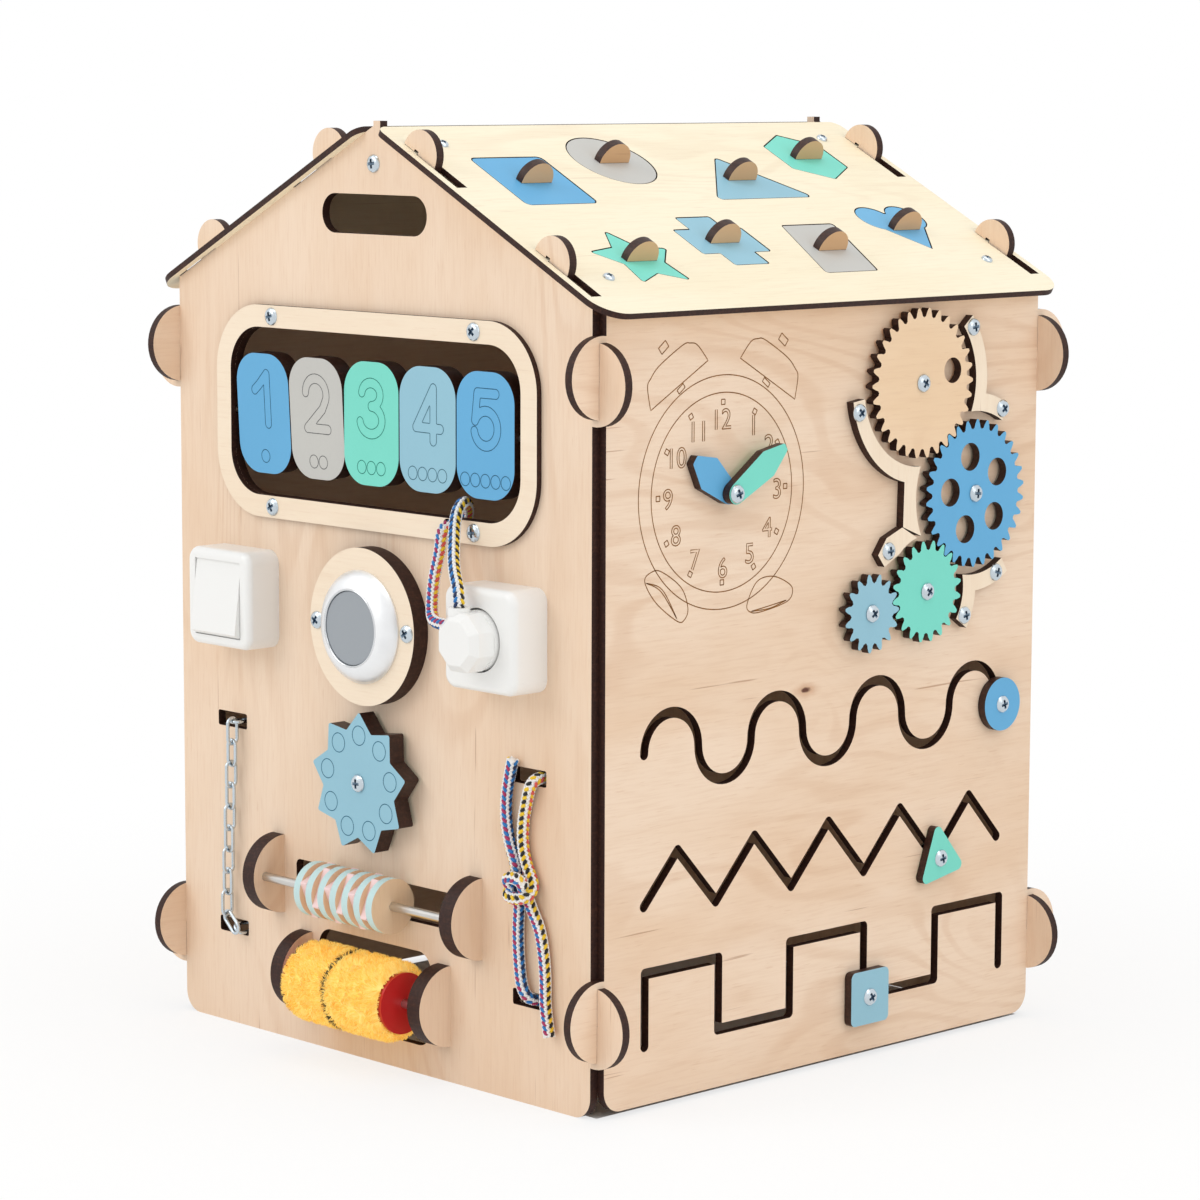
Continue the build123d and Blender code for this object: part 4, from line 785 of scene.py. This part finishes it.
roofBuild = Build()
for down in screws["roofDown"]:
    for y in screws["roofAcross"]:
        addScrew(roofBuild, roof, y, -down, 0.0, "roof")
roofBuild.piece("roofScrews", screwFinish, smooth=False, replaced=("roof_screws",))

# the tracks of the beads: the last arc's middle lies 12 radii from the first's, and a leg is half a tooth of the zigzag
wave = {"firstY": -143.9, "radius": 23.7, "radii": 12, "z": 226.0, "over": math.radians(-10.0)}
zigzag = {"leg": 34.5, "legs": 3, "z": 124.6}
lastArcY = wave["firstY"] + wave["radii"] * wave["radius"]
sliders = {
    "round": (
        lastArcY + wave["radius"] * math.cos(wave["over"]), wave["z"] + wave["radius"] * math.sin(wave["over"]),
    ),
    "triangle": (zigzag["legs"] * zigzag["leg"], zigzag["z"]), "square": (35.1, 41.4),
}
fixing = {"top": 6.4, "bore": 2.0, "sleeve": 3.0, "sleeveTop": 0.4, "disc": 9.0, "discTop": -6.3, "discBack": -8.3}
for name, (y, z) in sliders.items():
    build = Build()
    addScrew(build, side, y, z, fixing["top"])
    tube(build, side, y, z, fixing["sleeve"], fixing["bore"], fixing["discTop"], fixing["sleeveTop"])
    tube(build, side, y, z, fixing["disc"], fixing["bore"], fixing["discBack"], fixing["discTop"])
    build.piece(name + "SliderScrew", screwFinish, name + "_bead", False, (name + "_slider_fixing",))


# engraved lines
engraved = 0.06  # the height of a line over its face


def distanceTo(stroke, x, z):
    best = 1e9
    for (x0, z0), (x1, z1) in stroke:
        dx, dz = x1 - x0, z1 - z0
        t = max(0.0, min(1.0, ((x - x0) * dx + (z - z0) * dz) / (dx * dx + dz * dz)))
        best = min(best, math.hypot(x - x0 - t * dx, z - z0 - t * dz))
    return best


def outlineOf(stroke, radius, grid=0.5):  # closed lines at a fixed distance round a set of strokes
    xs = [p[0] for s in stroke for p in s]
    zs = [p[1] for s in stroke for p in s]
    left, low = min(xs) - radius - grid, min(zs) - radius - grid
    columns = int((max(xs) - left + radius) / grid) + 2
    rows = int((max(zs) - low + radius) / grid) + 2
    level = [
        [distanceTo(stroke, left + i * grid, low + j * grid) - radius for j in range(rows)] for i in range(columns)
    ]
    spots, joins = {}, {}

    def crossing(a, b):
        key = (a, b)
        if key not in spots:
            va, vb = level[a[0]][a[1]], level[b[0]][b[1]]
            t = va / (va - vb)
            spots[key] = (left + (a[0] + (b[0] - a[0]) * t) * grid, low + (a[1] + (b[1] - a[1]) * t) * grid)
        return key

    for i in range(columns - 1):
        for j in range(rows - 1):
            corners = ((i, j), (i + 1, j), (i + 1, j + 1), (i, j + 1))
            found = []
            for k in range(4):
                a, b = sorted((corners[k], corners[(k + 1) % 4]))
                if (level[a[0]][a[1]] < 0) != (level[b[0]][b[1]] < 0):
                    found.append(crossing(a, b))
            for a, b in zip(found[::2], found[1::2]):
                joins.setdefault(a, []).append(b)
                joins.setdefault(b, []).append(a)
    loops = []
    while joins:
        start = next(iter(joins))
        loop, here, before = [], start, None
        while here in joins:
            following = [k for k in joins.pop(here) if k != before and k in joins]
            loop.append(spots[here])
            before = here
            if not following:
                break
            here = following[0]
        if len(loop) > 4:
            loops.append(loop)
    return loops


def arcOf(x, z, rx, rz, start, end, count=16):
    turns = [math.radians(start + (end - start) * k / count) for k in range(count + 1)]
    points = [(x + rx * math.cos(a), z + rz * math.sin(a)) for a in turns]
    return list(zip(points, points[1:]))


def circleOf(x, z, radius, count=72):
    turns = [2 * math.pi * k / count for k in range(count)]
    return [(x + radius * math.cos(a), z + radius * math.sin(a)) for a in turns]


def engrave(build, face, loops, h, width):
    for loop in loops:
        build.ribbon([face.at(x, z, h) for x, z in loop], face.out, width)


print("stage: engraving")
block = {
    "pitch": 54.4, "rodH": -3.0, "rodZ": 418.9, "half": 6.0, "tilt": (3.0, 3.0, 0.0, 0.0, 0.0), "stroke": 3.1,
    "line": 0.5, "countZ": -28.3, "countPitch": 9.4, "countRadius": 4.3,
}
digitStrokes = (  # the middle lines of the digits 1 to 5
    [((-8.3, 15.4), (-3.5, 19.0)), ((-3.5, 19.0), (4.4, 26.3)), ((4.4, 26.3), (4.4, -6.5))],
    arcOf(0.2, 16.2, 10.4, 10.1, 176, -18)
    + [((10.1, 13.1), (6.2, 6.5)), ((6.2, 6.5), (-9.6, -6.5)), ((-9.6, -6.5), (11.0, -6.5))],
    arcOf(-0.2, 18.8, 9.0, 7.5, 172, -82) + arcOf(-0.2, 2.4, 10.8, 8.9, 88, -170, 22),
    [((5.6, 26.3), (-10.8, 1.2)), ((-10.8, 1.2), (12.2, 1.0)), ((5.6, 26.3), (5.6, -6.8))],
    [((9.6, 26.3), (-7.4, 26.3)), ((-7.4, 26.3), (-9.6, 9.0))] + arcOf(0.4, 4.4, 10.8, 10.9, 155, -168, 26),
)
lineShades = ("#33617f", "#6d6e6e", "#2f8676", "#456f82", "#33617f")
for k, (stroke, shade) in enumerate(zip(digitStrokes, lineShades)):
    tilt = math.radians(block["tilt"][k])
    axis = front.at((k - 2) * block["pitch"], block["rodZ"], block["rodH"]) / mm
    blockFace = Face(axis, xWay, (0, -math.sin(tilt), math.cos(tilt)))
    loops = outlineOf(stroke, block["stroke"])
    for n in range(k + 1):
        loops.append(circleOf((n - k / 2) * block["countPitch"], block["countZ"], block["countRadius"], 40))
    build = Build()
    engrave(build, blockFace, loops, block["half"] + engraved, block["line"])
    build.piece(f"blockLines_{k + 1}", [burnt(f"blockLine_{k + 1}", shade)], f"block_{k + 1}")

build = Build()
starLoops = []
for k in range(star["tips"]):
    a = math.radians(star["phase"] + 360 * k / star["tips"])
    starLoops.append(circleOf(star["ring"] * math.cos(a), star["z"] + star["ring"] * math.sin(a), star["circle"], 48))
engrave(build, front, starLoops, star["top"] + engraved, star["line"])
build.piece("starLines", [burnt("starLine", "#3f7590")], "star")


def boundaryLoops(mesh):  # the outlines of a flat mesh
    shaped = bmesh.new()
    shaped.from_mesh(mesh)
    bmesh.ops.remove_doubles(shaped, verts=shaped.verts, dist=1e-5)
    edges = {e for e in shaped.edges if len(e.link_faces) == 1}
    loops = []
    while edges:
        edge = edges.pop()
        loop, here = [edge.verts[0]], edge.verts[1]
        while here is not loop[0]:
            loop.append(here)
            onward = [e for e in here.link_edges if e in edges]
            if not onward:
                break
            edges.discard(onward[0])
            here = onward[0].other_vert(here)
        loops.append([(v.co.x, v.co.y) for v in loop])
    shaped.free()
    return loops


def numeralLoops(text, height):  # the outlines of a numeral about its middle
    writing = bpy.data.curves.new("numeral", "FONT")
    writing.body = text
    shape = bpy.data.objects.new("numeral", writing)
    bpy.context.collection.objects.link(shape)
    bpy.context.view_layer.update()
    mesh = bpy.data.meshes.new_from_object(shape)
    loops = boundaryLoops(mesh)
    bpy.data.objects.remove(shape)
    xs = [x for loop in loops for x, z in loop]
    zs = [z for loop in loops for x, z in loop]
    k = height / (max(zs) - min(zs))
    midX, midZ = (max(xs) + min(xs)) / 2, (max(zs) + min(zs)) / 2
    return [[((x - midX) * k, (z - midZ) * k) for x, z in loop] for loop in loops]


# the clock's lines are placed in units of this many millimetres, from the middle of the house's depth
clockUnit = 1.09
clockParts = {
    "rings": (73.3, 62.4), "numeral": 12.6, "tick": 3.2, "tickRing": 56.5, "line": 0.7,
    "numerals": (
        (-67, 389), (-54, 377), (-47, 351), (-55, 329), (-69.5, 315), (-91.5, 308.5), (-114, 315), (-129.5, 330),
        (-136, 351), (-128, 374), (-112, 388), (-92, 394),
    ),
    "bell": (
        (-150, 402), (-152.5, 415), (-150, 420), (-143, 427), (-125, 437.5), (-119, 438.5), (-113, 437), (-104.5, 428),
    ),
    "bellBoxes": ((-126, 413, 6.5, 3.0, 38), (-140, 437, 7.5, 4.8, 38)),  # y, z, width, height and turn
    "leftFoot": (
        (-154, 306), (-148, 311), (-140, 310), (-125, 300), (-119.5, 288), (-122, 281.5), (-128, 281), (-145, 293),
    ),
    "leftSole": ((-153, 305), (-140, 300), (-128, 282), (-141, 299)),
    "rightFoot": ((-71, 286), (-69, 281), (-60, 280), (-38, 284), (-33, 290), (-37, 295), (-50, 300), (-63, 298)),
    "rightSole": ((-68, 281), (-52, 281.5), (-38, 285), (-52, 283)),
    "middle": -91.4,
}


def smoothLoop(points, held=()):  # a closed line that rounds its points, apart from the held corners
    made, count = [], len(points)
    for n in range(count):
        a, b, c, d = (points[(n + k - 1) % count] for k in range(4))
        a = b if n in held else a
        d = c if (n + 1) % count in held else d
        for k in range(8):
            t = k / 8
            weights = (
                -0.5 * t + t * t - 0.5 * t ** 3, 1 - 2.5 * t * t + 1.5 * t ** 3,
                0.5 * t + 2 * t * t - 1.5 * t ** 3, -0.5 * t * t + 0.5 * t ** 3,
            )
            made.append(tuple(sum(w * p[i] for w, p in zip(weights, (a, b, c, d))) for i in (0, 1)))
    return made


def scaled(points, flip=False):
    middle = clockParts["middle"]
    return [((2 * middle - y if flip else y) * clockUnit, z * clockUnit) for y, z in points]


def tiltedBox(y, z, width, height, degrees):
    a = math.radians(degrees)
    corners = ((-1, -1), (1, -1), (1, 1), (-1, 1))
    points = []
    for n in range(4):
        (x0, z0), (x1, z1) = corners[n], corners[(n + 1) % 4]
        for t in (0.02, 0.5, 0.98):
            u, w = (x0 + (x1 - x0) * t) * width / 2, (z0 + (z1 - z0) * t) * height / 2
            points.append((y + u * math.cos(a) - w * math.sin(a), z + u * math.sin(a) + w * math.cos(a)))
    return points


clockLoops = [circleOf(clock["y"], clock["z"], radius, 160) for radius in clockParts["rings"]]
for hour, (y, z) in enumerate(clockParts["numerals"], 1):
    midY, midZ = y * clockUnit, z * clockUnit
    for loop in numeralLoops(str(hour), clockParts["numeral"]):
        clockLoops.append([(midY + u, midZ + w) for u, w in loop])
    a, tick, ring = math.radians(90 - 30 * hour), clockParts["tick"], clockParts["tickRing"]
    tickY, tickZ = clock["y"] + ring * math.cos(a), clock["z"] + ring * math.sin(a)
    clockLoops.append(tiltedBox(tickY, tickZ, tick, tick, -30 * hour))
for flip in (False, True):
    clockLoops.append(smoothLoop(scaled(clockParts["bell"], flip), (0, 7)))
    for y, z, width, height, turn in clockParts["bellBoxes"]:
        (boxY, boxZ), = scaled([(y, z)], flip)
        clockLoops.append(tiltedBox(boxY, boxZ, width, height, -turn if flip else turn))
for foot in ("left", "right"):
    clockLoops.append(smoothLoop(scaled(clockParts[foot + "Foot"])))
    clockLoops.append(smoothLoop(scaled(clockParts[foot + "Sole"]), (0, 2)))
build = Build()
engrave(build, side, clockLoops, engraved, clockParts["line"])
build.piece("clockLines", [burnt("clockLine", "#96683c")])

# the lamp's rim
print("stage: lamp, fleece")
build = Build()
rimProfile = [(lamp["disc"] + out, height) for out, height in lamp["rim"]]
build.lathe(front, 0, lamp["z"], rimProfile, sides=lamp["rimSides"])
build.piece("lampRim", [finishes["chrome"]])

# the paint roller's pile
fleece = {
    "z": 49.8, "h": 16.4, "left": -51.0, "right": 44.0, "base": 24.4, "tip": 27.6, "fibres": 26000, "tufts": 420,
    # glow is the strength of the pile's painted glow
    "width": 0.3, "rings": ((-5.0, 1.7), (-48.0, 0.9)), "rounded": 7.0, "lower": 4.5, "glow": 0.16, "inset": 0.8,
    "tuftRow": 6, "tuftReach": 24, "leanX": 3.0, "leanAngle": 0.12, "pull": 0.45, "ringPull": 0.2, "strayX": 0.7,
    "strayAngle": 0.03, "strayBend": 0.02, "pastLeft": 1.5, "pastRight": 2.5, "tipSpread": (-1.2, 0.4),
    "ringLower": 0.3, "rooted": 0.3, "bulge": 0.5, "twist": 0.6, "blackShare": 0.85, "deepShare": 0.2,
    "roundSteps": 64, "longSteps": 40,
}


def fleeceFinish(name, light, deep):
    finish = Finish(name, Roughness=0.85, Sheen_Weight=0.35, Sheen_Roughness=0.4)
    clump = finish.steps(finish.noise(120.0, 3.0), 0.4, 0.75)
    colour = finish.mix(clump * 0.6, tone(light), tone(deep))
    finish.feed(Base_Color=colour, Emission_Color=colour)  # painted glow: the pile gives off a little light in its own colour, standing in for light passing through it
    finish.shader.inputs["Emission Strength"].default_value = fleece["glow"]
    finish.bump(clump, 0.1, 0.0003)
    return finish.material


def onSleeve(x, angle, radius):  # the pile is lower towards the ends of the sleeve
    fromEnd = min(x - fleece["left"], fleece["right"] - x) / fleece["rounded"]
    radius -= fleece["lower"] * (1 - min(1.0, max(0.0, fromEnd))) ** 2
    return front.at(x, fleece["z"] + radius * math.sin(angle), fleece["h"] + radius * math.cos(angle))


build = Build()
roundSteps, longSteps = fleece["roundSteps"], fleece["longSteps"]
skinLeft, skinLong = fleece["left"] + fleece["inset"], fleece["right"] - fleece["left"] - 2 * fleece["inset"]
verts = []
for i in range(longSteps + 1):
    x = skinLeft + skinLong * i / longSteps
    verts += [onSleeve(x, 2 * math.pi * k / roundSteps, fleece["base"]) for k in range(roundSteps)]
build.add(verts, ringFaces(longSteps + 1, roundSteps), 0)

tuftRows = {}  # tufts that draw the fibres' tips together: place along and round the sleeve, and how far they lean
for _ in range(fleece["tufts"]):
    tuftX, tuftAngle = random.uniform(fleece["left"], fleece["right"]), random.uniform(0, 2 * math.pi)
    leanX = random.uniform(-fleece["leanX"], fleece["leanX"])
    tuft = (tuftX, tuftAngle, leanX, random.uniform(-fleece["leanAngle"], fleece["leanAngle"]))
    tuftRows.setdefault(int(tuftX // fleece["tuftRow"]), []).append(tuft)


def nearestTuft(x, angle):
    row = int(x // fleece["tuftRow"])
    close = [t for r in (row - 1, row, row + 1) for t in tuftRows.get(r, ())]
    around = fleece["tuftReach"]
    return min(close, key=lambda t: (t[0] - x) ** 2 + (math.remainder(t[1] - angle, 2 * math.pi) * around) ** 2)


for n in range(fleece["fibres"]):
    x, angle = random.uniform(fleece["left"], fleece["right"]), random.uniform(0, 2 * math.pi)
    tuft = nearestTuft(x, angle)
    inRing = any(abs(x + 1.2 * math.sin(3 * angle) - ring) < half for ring, half in fleece["rings"])
    pull = fleece["ringPull"] if inRing else fleece["pull"]
    tipX = x + (tuft[0] + tuft[2] - x) * pull + random.gauss(0, fleece["strayX"])
    tipX = max(fleece["left"] - fleece["pastLeft"], min(fleece["right"] + fleece["pastRight"], tipX))
    tuftTurn = math.remainder(tuft[1] + tuft[3] - angle, 2 * math.pi)
    tipAngle = angle + tuftTurn * pull + random.gauss(0, fleece["strayAngle"])
    tipRadius = fleece["tip"] + random.uniform(*fleece["tipSpread"]) - (fleece["ringLower"] if inRing else 0.0)
    root, tip = onSleeve(x, angle, fleece["base"] - fleece["rooted"]), onSleeve(tipX, tipAngle, tipRadius)
    bendAngle = (angle + tipAngle) / 2 + random.gauss(0, fleece["strayBend"])
    bend = onSleeve((x + tipX) / 2, bendAngle, (fleece["base"] + tipRadius) / 2 + fleece["bulge"])
    wide = (tip - root).cross(onSleeve(x, angle, 30.0) - onSleeve(x, angle, 0.0)).normalized()
    aslant = Vector((random.uniform(-1, 1), random.uniform(-1, 1), random.uniform(-1, 1)))
    wide = (wide + aslant * fleece["twist"]).normalized() * (fleece["width"] * mm)
    isBlack = inRing and random.random() < fleece["blackShare"]
    shade = 2 if isBlack else (1 if random.random() < fleece["deepShare"] else 0)  # black, deep or light yellow
    build.add([root - wide, root + wide, bend + wide * 0.8, bend - wide * 0.8, tip], [(0, 1, 2, 3), (3, 2, 4)], shade)
build.piece(
    "fleece",
    [fleeceFinish("fleeceYellow", "#ffe384", "#ffd564"), fleeceFinish("fleeceDeep", "#ffd767", "#f7bf49"),
     fleeceFinish("fleeceBlack", "#2a241c", "#15120f")],
    "sleeve", replaced=("paint_roller_sleeve",),
)

# floor, world and lamps
studio = {
    "ambient": 0.74, "floor": "#f7f6f4", "floorHalf": 9, "hidden": 0.2, "clearing": (0.24, 0.9, 0.74, 1.0),
    "lamps": (
        ("keyLamp", (-1.2, -2.6, 2.2), (0, 0, 0.3), 29.0, 2.2),
        ("fillLamp", (2.8, 0.2, 1.6), (0, 0, 0.3), 14.0, 2.0),
        ("topLamp", (0.5, 0.0, 2.6), (0.1, 0, 0.5), 11.0, 1.6),
    ),
}


def castWhite(finish):  # 1 for camera, glossy and transmitted rays
    rays = ("Is Camera Ray", "Is Glossy Ray", "Is Transmission Ray")
    seen = [finish.node("ShaderNodeLightPath", out=name) for name in rays]
    return seen[0].maths("MAXIMUM", seen[1]).maths("MAXIMUM", seen[2])


class Sky(Finish):  # the world's nodes, made in the same way as a finish's
    def __init__(self, tree):
        self.tree = tree


world = bpy.data.worlds.new("studio")
bpy.context.scene.world = world
world.use_nodes = True
world.node_tree.nodes.clear()
sky = Sky(world.node_tree)
light = world.node_tree.nodes.new("ShaderNodeBackground")
light.inputs["Color"].default_value = (1, 1, 1, 1)
end = world.node_tree.nodes.new("ShaderNodeOutputWorld")
strength = castWhite(sky) * (1 - studio["ambient"]) + studio["ambient"]
world.node_tree.links.new(strength.socket, light.inputs["Strength"])
world.node_tree.links.new(light.outputs[0], end.inputs[0])

floorMesh = bpy.data.meshes.new("floor")
half = studio["floorHalf"]
floorMesh.from_pydata([(-half, -half, 0), (half, -half, 0), (half, half, 0), (-half, half, 0)], [], [(0, 1, 2, 3)])
floor = bpy.data.objects.new("floor", floorMesh)
bpy.context.collection.objects.link(floor)
floorFinish = Finish("floorPaper", Roughness=0.9)
floorFinish.shader.inputs["Base Color"].default_value = tone(studio["floor"])
glow = floorFinish.tree.nodes.new("ShaderNodeEmission")
joinNode = floorFinish.tree.nodes.new("ShaderNodeMixShader")
fromMiddle = floorFinish.vector("SUBTRACT", floorFinish.place(), (0.0, house["middleY"] * mm, 0.0))
insideX = abs(floorFinish.along(xWay, fromMiddle)) < studio["hidden"]
insideY = abs(floorFinish.along(yWay, fromMiddle)) < studio["hidden"]
reach = floorFinish.vector("LENGTH", floorFinish.place(), (0, 0, 0), "Value")
bare = floorFinish.steps(reach, *studio["clearing"]) * (1 - insideX * insideY)  # dim under the house, white far away
floorFinish.tree.links.new((castWhite(floorFinish) * bare).socket, joinNode.inputs[0])
floorFinish.tree.links.new(floorFinish.shader.outputs[0], joinNode.inputs[1])
floorFinish.tree.links.new(glow.outputs[0], joinNode.inputs[2])
floorFinish.tree.links.new(joinNode.outputs[0], floorFinish.end.inputs[0])
floorMesh.materials.append(floorFinish.material)

for name, place, target, power, size in studio["lamps"]:
    lampData = bpy.data.lights.new(name, "AREA")
    lampData.energy, lampData.size = power, size
    lampThing = bpy.data.objects.new(name, lampData)
    lampThing.location = place
    lampThing.rotation_euler = (Vector(target) - Vector(place)).to_track_quat("-Z", "Y").to_euler()
    bpy.context.collection.objects.link(lampThing)

print("stage: finish")
